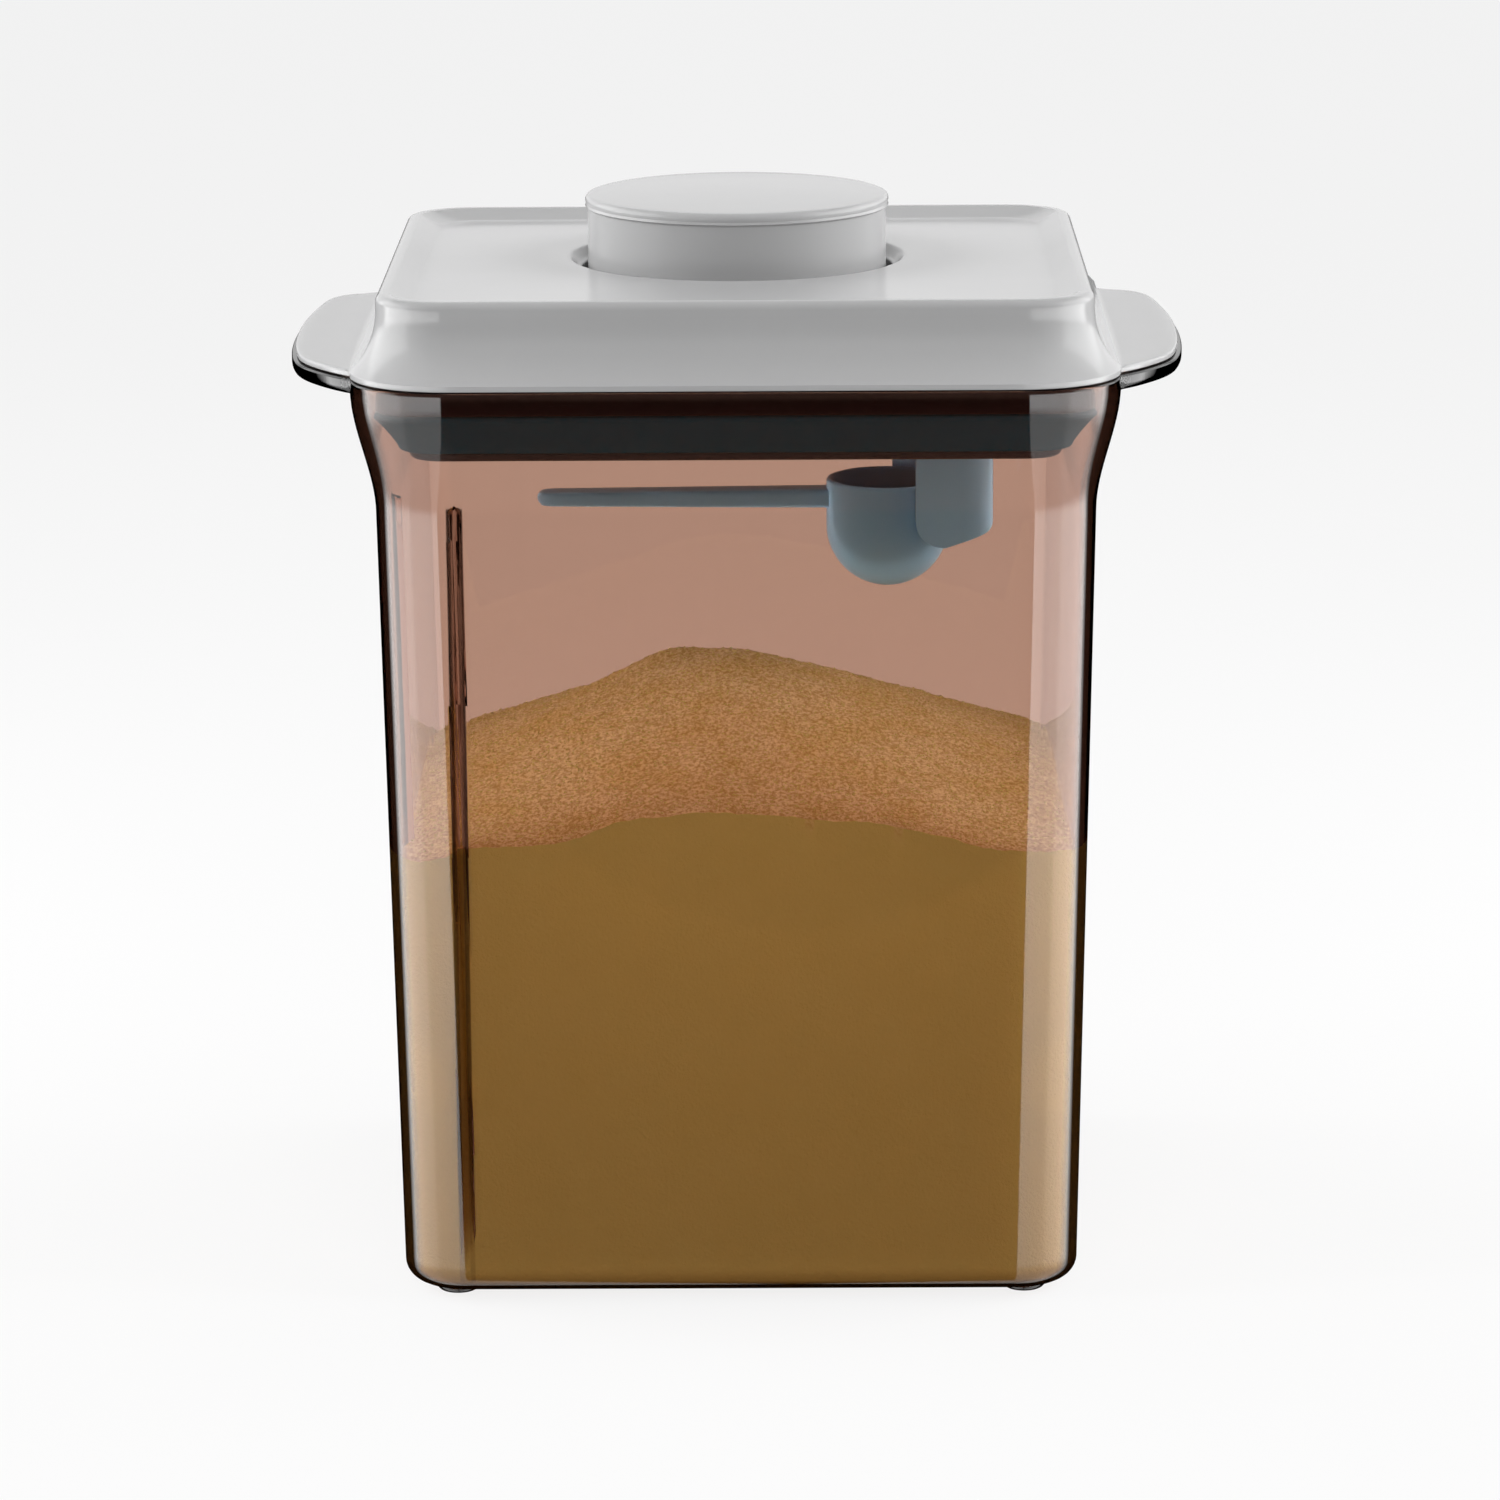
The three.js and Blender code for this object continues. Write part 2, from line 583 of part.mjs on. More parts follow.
const container = new THREE.Group();
container.add(
  piece('jar_body', jarBody(), 'amber'),
  piece('lid_shell', lidShell(), 'lidGrey'),
  piece('push_button', pushButton(), 'lidGrey'),
  piece('lid_plug', lidPlug(), 'plugGrey'),
  piece('sealing_ring', sealingRing(), 'sealTeal'),
  piece('scoop', scoop(), 'scoopTeal'),
  piece('scoop_clip', scoopClip(), 'scoopTeal'),
  piece('milk_powder', milkPowder(), 'powder'),
);

export default container;
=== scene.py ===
"""The looks of an airtight milk powder container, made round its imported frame."""

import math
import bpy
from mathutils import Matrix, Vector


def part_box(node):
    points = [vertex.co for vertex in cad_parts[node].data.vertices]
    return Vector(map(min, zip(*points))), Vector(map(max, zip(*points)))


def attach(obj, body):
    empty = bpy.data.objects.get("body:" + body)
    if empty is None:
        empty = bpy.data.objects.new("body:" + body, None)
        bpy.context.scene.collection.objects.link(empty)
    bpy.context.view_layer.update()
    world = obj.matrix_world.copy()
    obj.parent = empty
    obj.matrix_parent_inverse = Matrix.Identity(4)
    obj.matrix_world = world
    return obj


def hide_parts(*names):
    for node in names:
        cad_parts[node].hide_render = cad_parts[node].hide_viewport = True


bl_info = {
    "name": "Milk Powder Container",
    "version": (1, 0, 0),
    "blender": (4, 5, 0),
    "location": "View3D > Sidebar > Container",
    "description": "Builds a clear amber jar of milk powder with its lid, push button, sealing ring and scoop",
    "category": "Add Mesh",
}

import bmesh
import bpy
from bpy.props import FloatProperty, FloatVectorProperty, IntProperty, PointerProperty
from mathutils import Matrix, Quaternion, Vector, noise

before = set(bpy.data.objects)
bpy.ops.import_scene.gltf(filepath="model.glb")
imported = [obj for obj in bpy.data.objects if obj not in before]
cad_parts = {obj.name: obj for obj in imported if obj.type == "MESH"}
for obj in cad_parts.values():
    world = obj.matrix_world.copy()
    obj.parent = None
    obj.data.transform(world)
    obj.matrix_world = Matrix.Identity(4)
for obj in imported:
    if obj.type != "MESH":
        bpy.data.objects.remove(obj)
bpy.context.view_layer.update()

MM = 0.001
HALF_TURN = math.pi
QUARTER_TURN = math.pi / 2
CORNER_SIGNS = ((1, 1), (-1, 1), (-1, -1), (1, -1))

JAR_LOW, JAR_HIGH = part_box("jar_body")
LID_LOW, LID_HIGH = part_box("lid_shell")
BUTTON_LOW, BUTTON_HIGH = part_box("push_button")
PLUG_LOW, PLUG_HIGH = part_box("lid_plug")
SEAL_LOW, SEAL_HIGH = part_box("sealing_ring")
SCOOP_LOW, SCOOP_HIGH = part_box("scoop")
CLIP_LOW, CLIP_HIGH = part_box("scoop_clip")
POWDER_LOW, POWDER_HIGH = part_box("milk_powder")

# The jar, lid, plug and ring are this much shorter from their middle to the front than to the side.
PLAN_DIFFERENCE = 2.5 * MM


def length(name, description, default):
    return FloatProperty(name=name, description=description, default=default, unit="LENGTH", precision=5)


def colour(name, description, default):
    return FloatVectorProperty(
        name=name, description=description, default=default, size=3, min=0, max=1, subtype="COLOR"
    )


class JarSettings(bpy.types.PropertyGroup):
    """Sizes of the clear jar"""

    wall: length("Wall", "Thickness of the jar's wall", 2.4 * MM)
    base: length("Base", "Height of the jar's underside over the table", 1.8 * MM)
    floor: length("Floor", "Height of the inner floor", 3.8 * MM)
    base_half: length("Base half width", "From the middle to the side at the base", 66.05 * MM)
    shoulder_half: length("Shoulder half width", "From the middle to the side where the flare starts", 68.8 * MM)
    mouth_half: length("Mouth half width", "From the middle to the side at the rim", 73.4 * MM)
    flare_start: length("Flare start", "Height where the wall starts to flare", 156 * MM)
    flare_end: length("Flare end", "Height where the flare ends", 179.5 * MM)
    base_radius: length("Base corner", "Upright corner radius at the base", 12.5 * MM)
    mouth_radius: length("Mouth corner", "Upright corner radius at the rim", 18.5 * MM)
    base_fillet: length("Base fillet", "Rounding round the underside", 4 * MM)
    floor_fillet: length("Floor fillet", "Rounding round the inner floor", 3.5 * MM)
    ear_thickness: length("Ear thickness", "Thickness of the ears at the rim", 3.0 * MM)
    ear_y: length("Ear middle", "Place of an ear's middle along the depth", -4.0 * MM)
    ear_length: length("Ear half length", "From the middle of an ear to its end along the rim", 50 * MM)
    ear_edge: length("Ear edge", "Rounding of an ear's lower edge", 1.4 * MM)
    rib_width: length("Rib width", "Width of the two upright inner ribs", 2.7 * MM)
    rib_flank: length("Rib flank", "Width of a rib's sloping side", 1.15 * MM)
    rib_depth: length("Rib depth", "How far a rib stands off the wall", 2.1 * MM)
    rib_top: length("Rib top", "Height of the ribs' round upper ends", 158.9 * MM)
    rib_front_x: length("Front rib", "Place of the front wall's rib along the width", -53.3 * MM)
    rib_side_y: length("Side rib", "Place of the left wall's rib along the depth", -51 * MM)
    foot_x: length("Foot across", "From the middle to a foot along the width", 55.6 * MM)
    foot_y: length("Foot along", "From the middle to a foot along the depth", 53.6 * MM)
    foot_radius: length("Foot radius", "Radius of a foot where it leaves the base", 4.5 * MM)
    tint: colour("Tint", "Colour that the clear plastic lets through", (0.576, 0.233, 0.04))
    depth_of_tint: FloatProperty(
        name="Depth of tint", description="How fast the plastic takes light away, for each metre", default=330, min=0
    )


class LidSettings(bpy.types.PropertyGroup):
    """Sizes of the lid's grey shell, its button and the plug under it"""

    rim_half: length("Rim half width", "From the middle to the side of the rim", 73.5 * MM)
    rim_half_depth: length("Rim half depth", "From the middle to the front of the rim", 71 * MM)
    lip: length("Lip", "Height of the upright edge at the rim", 1.1 * MM)
    crest_half: length("Crest half width", "From the middle to the side of the raised edge", 68.4 * MM)
    crest_half_depth: length("Crest half depth", "From the middle to the front of the raised edge", 63.6 * MM)
    crest_radius: length("Crest corner", "Corner radius of the raised edge", 13 * MM)
    crest_rounding: length("Crest rounding", "Rounding of the raised edge", 1.6 * MM)
    crest_flat: length("Crest flat", "Flat width on top of the raised edge", 1.0 * MM)
    tray_drop: length("Tray drop", "Depth of the tray under the raised edge", 2.0 * MM)
    tray_half: length("Tray half width", "From the middle to the tray's side", 61.5 * MM)
    tray_half_depth: length("Tray half depth", "From the middle to the tray's front", 56.8 * MM)
    tray_radius: length("Tray corner", "Corner radius of the tray", 8 * MM)
    wall: length("Wall", "Thickness of the shell", 1.8 * MM)
    flare_power: FloatProperty(name="Flare", description="How hollow the skirt's sweep is", default=2.6, min=1)
    ear_inset: length("Ear inset", "How far the lid's ears stay inside the jar's", 0.8 * MM)
    ear_thickness: length("Ear thickness", "Thickness of the lid's ears", 1.2 * MM)
    hole_radius: length("Hole radius", "Radius of the button's hole", 30.9 * MM)
    dish_radius: length("Dish radius", "Radius of the dished ring round the hole", 33.5 * MM)
    dish_depth: length("Dish depth", "Depth of the dished ring", 1.8 * MM)
    sleeve_bottom: length("Sleeve bottom", "Height of the sleeve's lower end", 183 * MM)
    button_wall: length("Button wall", "Thickness of the button", 1.8 * MM)
    button_dome: length("Button dome", "Rise of the button's top", 0.9 * MM)
    grey: colour("Grey", "Colour of the lid and the button", (0.36, 0.36, 0.362))
    # Colour of the inner lid, darkened about tenfold to near black as painted shade for the shadow under the lid
    plug_grey: colour("Plug grey", "Colour of the inner lid", (0.028, 0.010, 0.012))


class SealSettings(bpy.types.PropertyGroup):
    """Sizes of the sealing ring"""

    bottom_half: length("Bottom half width", "From the middle to the side at the ring's bottom", 64.2 * MM)
    top_half: length("Top half width", "From the middle to the side at the ring's top", 68.3 * MM)
    colour: colour("Colour", "Colour of the ring", (0.0005, 0.055, 0.110))


class ScoopSettings(bpy.types.PropertyGroup):
    """Sizes of the scoop and its clip"""

    wall: length("Wall", "Thickness of the bowl", 1.2 * MM)
    root_height: length("Handle root height", "Thickness of the handle at the bowl", 3.7 * MM)
    tip_height: length("Handle tip height", "Thickness of the handle at its end", 2.6 * MM)
    handle_width: length("Handle width", "Width of the handle", 7 * MM)
    handle_z: length("Handle height", "Height of the handle's middle", 148.5 * MM)
    colour: colour("Colour", "Colour of the scoop", (0.18, 0.44, 0.72))
    # The scoop's plastic made about 1.4 times paler as painted light, for the stronger light on the clip
    clip_lit_colour: colour("Clip colour", "Colour of the clip", (0.26, 0.61, 1.0))


class PowderSettings(bpy.types.PropertyGroup):
    """Shape and colour of the heap of milk powder"""

    top: length("Top", "Height of the cone's top", 116.7 * MM)
    cone_x: length("Cone across", "Place of the cone's axis along the width", -1.3 * MM)
    cone_y: length("Cone along", "Place of the cone's axis along the depth", -4.6 * MM)
    blunt: length("Bluntness", "Radius over which the cone is rounded", 8.7 * MM)
    slope: FloatProperty(name="Slope", description="Fall of the heap for each unit of distance", default=0.354)
    left_extra: FloatProperty(name="Left extra", description="Added slope to the left", default=0.025)
    lumps: length("Lumps", "Height of the soft lumps", 0.2 * MM)
    grain_size: length("Grain size", "Radius of a loose grain", 0.32 * MM)
    grain_density: FloatProperty(name="Grain density", description="Loose grains on a square metre", default=560000)
    seed: IntProperty(name="Seed", description="Seed for the loose grains", default=5)
    colour: colour("Colour", "Colour of the powder", (0.98, 0.95, 0.60))


class StageSettings(bpy.types.PropertyGroup):
    """The floor, the lights and the camera"""

    floor_size: length("Floor size", "Side of the square floor", 12.0)
    floor_colour: colour("Floor colour", "Colour of the floor", (0.09, 0.09, 0.09))
    floor_glow: FloatProperty(name="Floor glow", description="Light that the floor gives off", default=0.84)
    lens: FloatProperty(name="Lens", description="Focal length for a 36 mm wide frame", default=145.3)


# Shader trees


class Wire:
    """One output of a shader tree. An expression on it adds the Math nodes that work it out."""

    def __init__(self, sheet, socket):
        self.sheet = sheet
        self.socket = socket

    def _math(self, operation, *values):
        return self.sheet.node("ShaderNodeMath", {"operation": operation}, dict(enumerate(values)))

    def __add__(self, other):
        return self._math("ADD", self, other)

    __radd__ = __add__

    def __sub__(self, other):
        return self._math("SUBTRACT", self, other)

    def __rsub__(self, other):
        return self._math("SUBTRACT", other, self)

    def __mul__(self, other):
        return self._math("MULTIPLY", self, other)

    __rmul__ = __mul__

    def __pow__(self, other):
        return self._math("POWER", self, other)

    def __abs__(self):
        return self._math("ABSOLUTE", self)

    def most(self, other):
        return self._math("MAXIMUM", self, other)

    def step(self, low, high):
        """0 at low and 1 at high, with a smooth step between."""
        values = {"Value": self, "From Min": low, "From Max": high}
        return self.sheet.node("ShaderNodeMapRange", {"interpolation_type": "SMOOTHSTEP"}, values)


class Sheet:
    """The shader tree of one material or of the world."""

    def __init__(self, owner):
        owner.use_nodes = True
        self.owner = owner
        self.tree = owner.node_tree
        self.tree.nodes.clear()

    def node(self, kind, settings=None, values=None, out=0):
        """Adds a node: its settings first, then the values or links of its sockets. Returns one output."""
        made = self.tree.nodes.new(kind)
        for key, value in (settings or {}).items():
            if key == "stops":
                self._set_stops(made.color_ramp, value)
            else:
                setattr(made, key, value)
        for key, value in (values or {}).items():
            if isinstance(value, Wire):
                self.tree.links.new(value.socket, made.inputs[key])
            else:
                made.inputs[key].default_value = value
        return Wire(self, made.outputs[out]) if made.outputs else made

    @staticmethod
    def _set_stops(ramp, stops):
        while len(ramp.elements) < len(stops):
            ramp.elements.new(1.0)
        for element, (position, value) in zip(ramp.elements, stops):
            element.position = position
            element.color = (*value, 1.0)

    def object_coordinates(self):
        return self.node("ShaderNodeTexCoord", out="Object")

    def split(self, vector):
        """The three parts of a vector."""
        return [self.node("ShaderNodeSeparateXYZ", None, {0: vector}, out=axis) for axis in "XYZ"]

    def noise(self, scale, detail=2.0, roughness=0.5, vector=None):
        values = {"Vector": vector or self.object_coordinates(), "Scale": scale, "Detail": detail, "Roughness": roughness}
        return self.node("ShaderNodeTexNoise", None, values)

    def blend(self, factor, first, second, blend_type="MIX"):
        """Mixes two colours."""
        settings = {"data_type": "RGBA", "blend_type": blend_type}
        return self.node("ShaderNodeMix", settings, {0: factor, 6: first, 7: second}, out=2)

    def scaled(self, first, share):
        return self.node("ShaderNodeVectorMath", {"operation": "SCALE"}, {0: first, "Scale": share})

    def bump(self, height, strength, distance):
        values = {"Height": height, "Strength": strength, "Distance": distance}
        return self.node("ShaderNodeBump", None, values)

    def finish(self, surface, volume=None):
        kind = "ShaderNodeOutputWorld" if isinstance(self.owner, bpy.types.World) else "ShaderNodeOutputMaterial"
        output = self.tree.nodes.new(kind)
        self.tree.links.new(surface.socket, output.inputs["Surface"])
        if volume:
            self.tree.links.new(volume.socket, output.inputs["Volume"])
        return self.owner


def rgba(values):
    return (*values, 1.0)


def amber_plastic(settings):
    """Clear amber plastic: it tints light by the depth it passes. Painted shade turns its base colour near black on its
    rounded corners seen side on, on its ears, round its sole and on the front rib's flanks.
    """
    sheet = Sheet(bpy.data.materials.new("amber_plastic"))
    x, y, z = sheet.split(sheet.object_coordinates())
    flat_x, flat_y = settings.base_half - settings.base_radius, settings.base_half - settings.base_radius - PLAN_DIFFERENCE
    # Painted shade: the jar's rounded corners, where the base colour goes near black as they turn side on
    corner = abs(x).step(flat_x - 1 * MM, flat_x + 2 * MM) * abs(y).step(flat_y - 1 * MM, flat_y + 2 * MM)
    # Painted shade: the ears' outer faces go near black
    ear = abs(x).step(settings.mouth_half + 0.5 * MM, settings.mouth_half + 2 * MM)
    # Painted shade: the lowest 1.6 to 2.8 mm of the jar goes near black where seen at a slant
    sole = z.step(settings.base + 2.8 * MM, settings.base + 1.6 * MM)
    across, along, _ = sheet.split(sheet.node("ShaderNodeNewGeometry", out="Normal"))
    # Only the outer surface, seen from outside, takes the painted shade of the corners, ears and sole
    outside = (across * x + along * y).step(-0.001, 0.002)
    outside = outside * (1.0 - sheet.node("ShaderNodeNewGeometry", out="Backfacing"))
    facing = sheet.node("ShaderNodeLayerWeight", None, {"Blend": 0.5}, out="Facing")
    # Painted shade on the corners, growing as they are seen more side on
    side_on_shade = facing.step(0.31, 0.49) * outside
    sole = sole * facing.step(0.10, 0.28) * outside
    ear = ear * outside
    # Painted shade along the front rib: two dark bands on its flanks, fainter over its middle, on the front wall's
    # surfaces, ending at the rib's top and weaker low down
    from_rib = abs(x - settings.rib_front_x)
    lean = (settings.shoulder_half - settings.base_half) / (settings.flare_start - settings.base)
    depth = y + (z * lean + (settings.base_half - PLAN_DIFFERENCE))
    flank = (from_rib.step(0.45 * MM, 0.75 * MM) * 0.65 + 0.35) * from_rib.step(1.65 * MM, 1.4 * MM)
    flank = flank * depth.step(6 * MM, 5 * MM) * z.step(settings.rib_top, settings.rib_top - 0.6 * MM) * (z.step(8 * MM, 34 * MM) * 0.5 + 0.35)
    # All the painted shade together: at 1 the base colour is near black
    dark = (corner * side_on_shade).most(ear).most(sole).most(flank)
    body = sheet.node(
        "ShaderNodeBsdfPrincipled",
        None,
        {
            # The painted shade darkens the base colour from white to near black
            "Base Color": sheet.blend(dark, (1, 1, 1, 1), (0.004, 0.0025, 0.002, 1)),
            "Transmission Weight": 1.0,
            "Roughness": 0.02,
            "IOR": 1.5,
        },
    )
    open_way = sheet.node("ShaderNodeBsdfTransparent", None, {"Color": (1, 1, 1, 1)})
    shadow = sheet.node("ShaderNodeLightPath", out="Is Shadow Ray")
    surface = sheet.node("ShaderNodeMixShader", None, {0: shadow, 1: body, 2: open_way})
    volume = sheet.node(
        "ShaderNodeVolumeAbsorption", None, {"Color": rgba(settings.tint), "Density": settings.depth_of_tint}
    )
    return sheet.finish(surface, volume)


def moulded_plastic(name, base, roughness, gloss=0.5, speckle=0.03):
    """Moulded plastic: an even colour with a faint cloudiness and a fine moulded grain."""
    sheet = Sheet(bpy.data.materials.new(name))
    cloud = sheet.noise(35.0, 3.0)
    paler = tuple(min(1.0, value * (1 + speckle)) for value in base)
    deeper = tuple(value * (1 - speckle) for value in base)
    grain = sheet.noise(2600.0, 2.0)
    surface = sheet.node(
        "ShaderNodeBsdfPrincipled",
        None,
        {
            "Base Color": sheet.blend(cloud, rgba(deeper), rgba(paler)),
            "Roughness": cloud * 0.06 + (roughness - 0.03),
            "IOR": 1.5,
            "Specular IOR Level": gloss,
            "Normal": sheet.bump(grain, 0.08, 0.02 * MM),
        },
    )
    return sheet.finish(surface)


def soft_rubber(name, base):
    """Soft dark rubber with a fine dusty sheen."""
    sheet = Sheet(bpy.data.materials.new(name))
    dust = sheet.noise(260.0, 4.0)
    paler = tuple(min(1.0, value * 1.25) for value in base)
    surface = sheet.node(
        "ShaderNodeBsdfPrincipled",
        None,
        {
            "Base Color": sheet.blend(dust, rgba(base), rgba(paler)),
            "Roughness": dust * 0.12 + 0.5,
            "Specular IOR Level": 0.0,
            "Normal": sheet.bump(dust, 0.15, 0.05 * MM),
        },
    )
    return sheet.finish(surface)


def milk_powder_material(name, base):
    """Fine dull powder in random warmer patches. Painted shade darkens and warms the pits between its tiny crumbs, and
    gives the sides against the wall a dimmer, yellower colour than the top.
    """
    sheet = Sheet(bpy.data.materials.new(name))
    patches = sheet.noise(70.0, 4.0, 0.6)
    crumbs = sheet.noise(1250.0, 3.0, 0.8)
    warmer = (base[0] * 0.90, base[1] * 0.86, base[2] * 0.70)
    faint = sheet.blend(patches * 0.4 + 0.3, rgba(warmer), rgba(base))
    cloudy = sheet.blend(patches.step(0.32, 0.65), rgba(warmer), rgba(base))
    # Painted shade in the pits: 0 where the crumbs' bump height is low, where the colour is darkened by (0.62, 0.55,
    # 0.42); 1 on the crumbs
    pit_shade_mask = crumbs.step(0.40, 0.60)
    shaded_powder = sheet.blend(pit_shade_mask, sheet.blend(1.0, cloudy, (0.62, 0.55, 0.42, 1.0), "MULTIPLY"), cloudy)
    # Painted shade on the heap's sides: where the surface faces sideways, its colour is the plainer mix dimmed by
    # (0.84, 0.96, 0.64) in place of the top's colour
    side_shade_off = sheet.split(sheet.node("ShaderNodeNewGeometry", out="Normal"))[2].step(0.3, 0.7)
    shaded_powder = sheet.blend(side_shade_off, sheet.blend(1.0, faint, (0.84, 0.96, 0.64, 1.0), "MULTIPLY"), shaded_powder)
    surface = sheet.node(
        "ShaderNodeBsdfPrincipled",
        None,
        {
            "Base Color": shaded_powder,
            "Roughness": 0.95,
            "Specular IOR Level": 0.1,
            "Normal": sheet.bump(crumbs, 0.8, 0.5 * MM),
        },
    )
    return sheet.finish(surface)


# Shared shapes


def smooth(low, high, value):
    """0 under low, 1 over high, and a smooth step between."""
    share = min(1.0, max(0.0, (value - low) / (high - low)))
    return share * share * (3 - 2 * share)


def between(first, second, share):
    return first + (second - first) * share


def graded(ends, middle_steps):
    """Numbers from 0 to 1 that are closer together near both ends: each end's stretches as (share, steps)."""
    near = []
    start = 0.0
    for share, steps in ends:
        near += [start + share * i / steps for i in range(steps)]
        start += share
    middle = [start + (1 - 2 * start) * i / middle_steps for i in range(middle_steps + 1)]
    return near + middle + [1 - value for value in reversed(near)]


def places_round(turns, alongs):
    """Places round a rounded rectangle: the corner, the turn round it, and the way along the side after it."""
    places = []
    for corner in range(4):
        places += [(corner, turn, 0.0) for turn in turns]
        places += [(corner, 1.0, along) for along in alongs[1:-1]]
    return places


FINE_PLACES = places_round(graded(((0.15, 12),), 10), graded(((0.06, 30), (0.12, 16)), 20))
PLAIN_PLACES = places_round([i / 12 for i in range(13)], graded(((0.02, 1),), 24))


def plan_point(place, half_x, half_y, radius):
    """A place's point on a rounded rectangle, and the way out of it there."""
    corner, turn, along = place
    angle = (corner + turn) * QUARTER_TURN
    out = Vector((math.cos(angle), math.sin(angle)))
    here, there = CORNER_SIGNS[corner], CORNER_SIGNS[(corner + 1) % 4]
    centre = Vector((
        (half_x - radius) * between(here[0], there[0], along),
        (half_y - radius) * between(here[1], there[1], along),
    ))
    return centre + radius * out, out


def flat_ring(places, half_x, half_y, radius, z):
    return [(*plan_point(place, half_x, half_y, radius)[0], z) for place in places]


def usual_ring(half_x, radius, z, places=PLAIN_PLACES):
    return flat_ring(places, half_x, half_x - PLAN_DIFFERENCE, radius, z)


def skin(name, rings, joined=False):
    """A closed mesh over rings of equally many points, capped at both ends or joined end to start."""
    count = len(rings[0])
    verts = [point for ring in rings for point in ring]
    faces = []
    for band in range(len(rings) - (0 if joined else 1)):
        low = band * count
        high = (band + 1) % len(rings) * count
        for i in range(count):
            j = (i + 1) % count
            faces.append((low + i, low + j, high + j, high + i))
    if not joined:
        faces.append(tuple(reversed(range(count))))
        faces.append(tuple(range(len(verts) - count, len(verts))))
    mesh = bpy.data.meshes.new(name)
    mesh.from_pydata(verts, [], faces)
    return mesh


def turned(name, profile, x, y, steps=128):
    """A closed mesh turned about an upright axis, from a profile of (radius, height) that starts and ends on it."""
    build = bmesh.new()
    points = [build.verts.new((x + radius, y, z)) for radius, z in profile]
    edges = [build.edges.new(pair) for pair in zip(points, points[1:])]
    bmesh.ops.spin(
        build, geom=points + edges, cent=(x, y, 0), axis=(0, 0, 1), angle=2 * HALF_TURN, steps=steps, use_merge=True
    )
    bmesh.ops.remove_doubles(build, verts=build.verts, dist=1e-7)
    bmesh.ops.recalc_face_normals(build, faces=build.faces)
    mesh = bpy.data.meshes.new(name)
    build.to_mesh(mesh)
    build.free()
    return mesh


def arc(centre_x, centre_z, radius, start, end, steps):
    """Points of a round stretch in a profile, from one angle to another, in degrees."""
    angles = [math.radians(between(start, end, i / steps)) for i in range(steps + 1)]
    return [(centre_x + radius * math.cos(angle), centre_z + radius * math.sin(angle)) for angle in angles]


def prism(name, outline, low, high, lift):
    """A closed prism over an outline of 2-D points. lift turns a point and a height into a place."""
    build = bmesh.new()
    bottom = [build.verts.new(lift(u, v, low)) for u, v in outline]
    top = [build.verts.new(lift(u, v, high)) for u, v in outline]
    build.faces.new(list(reversed(bottom)))
    build.faces.new(top)
    for i in range(len(outline)):
        j = (i + 1) % len(outline)
        build.faces.new((bottom[i], bottom[j], top[j], top[i]))
    bmesh.ops.recalc_face_normals(build, faces=build.faces)
    mesh = bpy.data.meshes.new(name)
    build.to_mesh(mesh)
    build.free()
    return mesh


def place(name, mesh, sharp=math.radians(30)):
    """Puts a mesh into the scene as a smooth object, with its edges sharp past an angle."""
    made = bpy.data.objects.new(name, mesh)
    bpy.context.scene.collection.objects.link(made)
    mesh.polygons.foreach_set("use_smooth", [True] * len(mesh.polygons))
    mesh.set_sharp_from_angle(angle=sharp)
    return made


def settle(made, sharp=math.radians(30)):
    """Applies an object's modifiers to its mesh."""
    bpy.context.view_layer.update()
    evaluated = made.evaluated_get(bpy.context.evaluated_depsgraph_get())
    mesh = bpy.data.meshes.new_from_object(evaluated)
    made.modifiers.clear()
    made.data = mesh
    mesh.polygons.foreach_set("use_smooth", [True] * len(mesh.polygons))
    mesh.set_sharp_from_angle(angle=sharp)
    return made


def join_solids(made, others, operation="UNION", sharp=math.radians(30)):
    """Joins other solids to one, cuts them from it, or keeps what they share."""
    for other in others:
        modifier = made.modifiers.new(other.name, "BOOLEAN")
        modifier.operation = operation
        modifier.solver = "MANIFOLD"
        modifier.object = other
    settle(made, sharp)
    for other in others:
        bpy.data.objects.remove(other)
    return made


def soften(made, width, segments=3, angle=math.radians(40), sharp=math.radians(50)):
    """Rounds an object's sharp edges."""
    modifier = made.modifiers.new("soften", "BEVEL")
    modifier.width = width
    modifier.segments = segments
    modifier.limit_method = "ANGLE"
    modifier.angle_limit = angle
    modifier.harden_normals = False
    return settle(made, sharp)


def dress(made, material, slot, body, *nodes):
    """Gives a piece its material, and ties it to the frame."""
    made.data.materials.clear()
    made.data.materials.append(material)
    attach(made, body)
    if nodes:
        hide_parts(*nodes)
    return made


# The jar


def bezier(points, steps):
    """Places on a cubic curve, without its first point."""
    a, b, c, d = (Vector(point) for point in points)
    shares = [i / steps for i in range(1, steps + 1)]
    return [(1 - t) ** 3 * a + 3 * (1 - t) ** 2 * t * b + 3 * (1 - t) * t * t * c + t ** 3 * d for t in shares]


def ear_outline(shoulder, corner, curves):
    """Half an ear's free edge, as (distance from the tip, distance from the end)."""
    root = (14.9, 0.0)
    first, second, third = curves
    outline = [Vector(root)]
    outline += bezier((root, *first, shoulder), 12)
    outline += bezier((shoulder, *second, corner), 16)
    outline += bezier((corner, *third, (0, 50)), 16)
    return [point * MM for point in outline]


EAR_FRONT = ear_outline(
    (8.7, 6.9), (2.2, 20.5), (((14, 0.6), (10.9, 3.6)), ((6.2, 10.6), (3.4, 15)), ((0.9, 26.5), (0, 36)))
)
EAR_BACK = ear_outline(
    (8.7, 5.7), (2.3, 17.0), (((13, 3.5), (11.5, 4.8)), ((4.7, 6.8), (2.9, 11)), ((0.9, 29), (0, 38)))
)


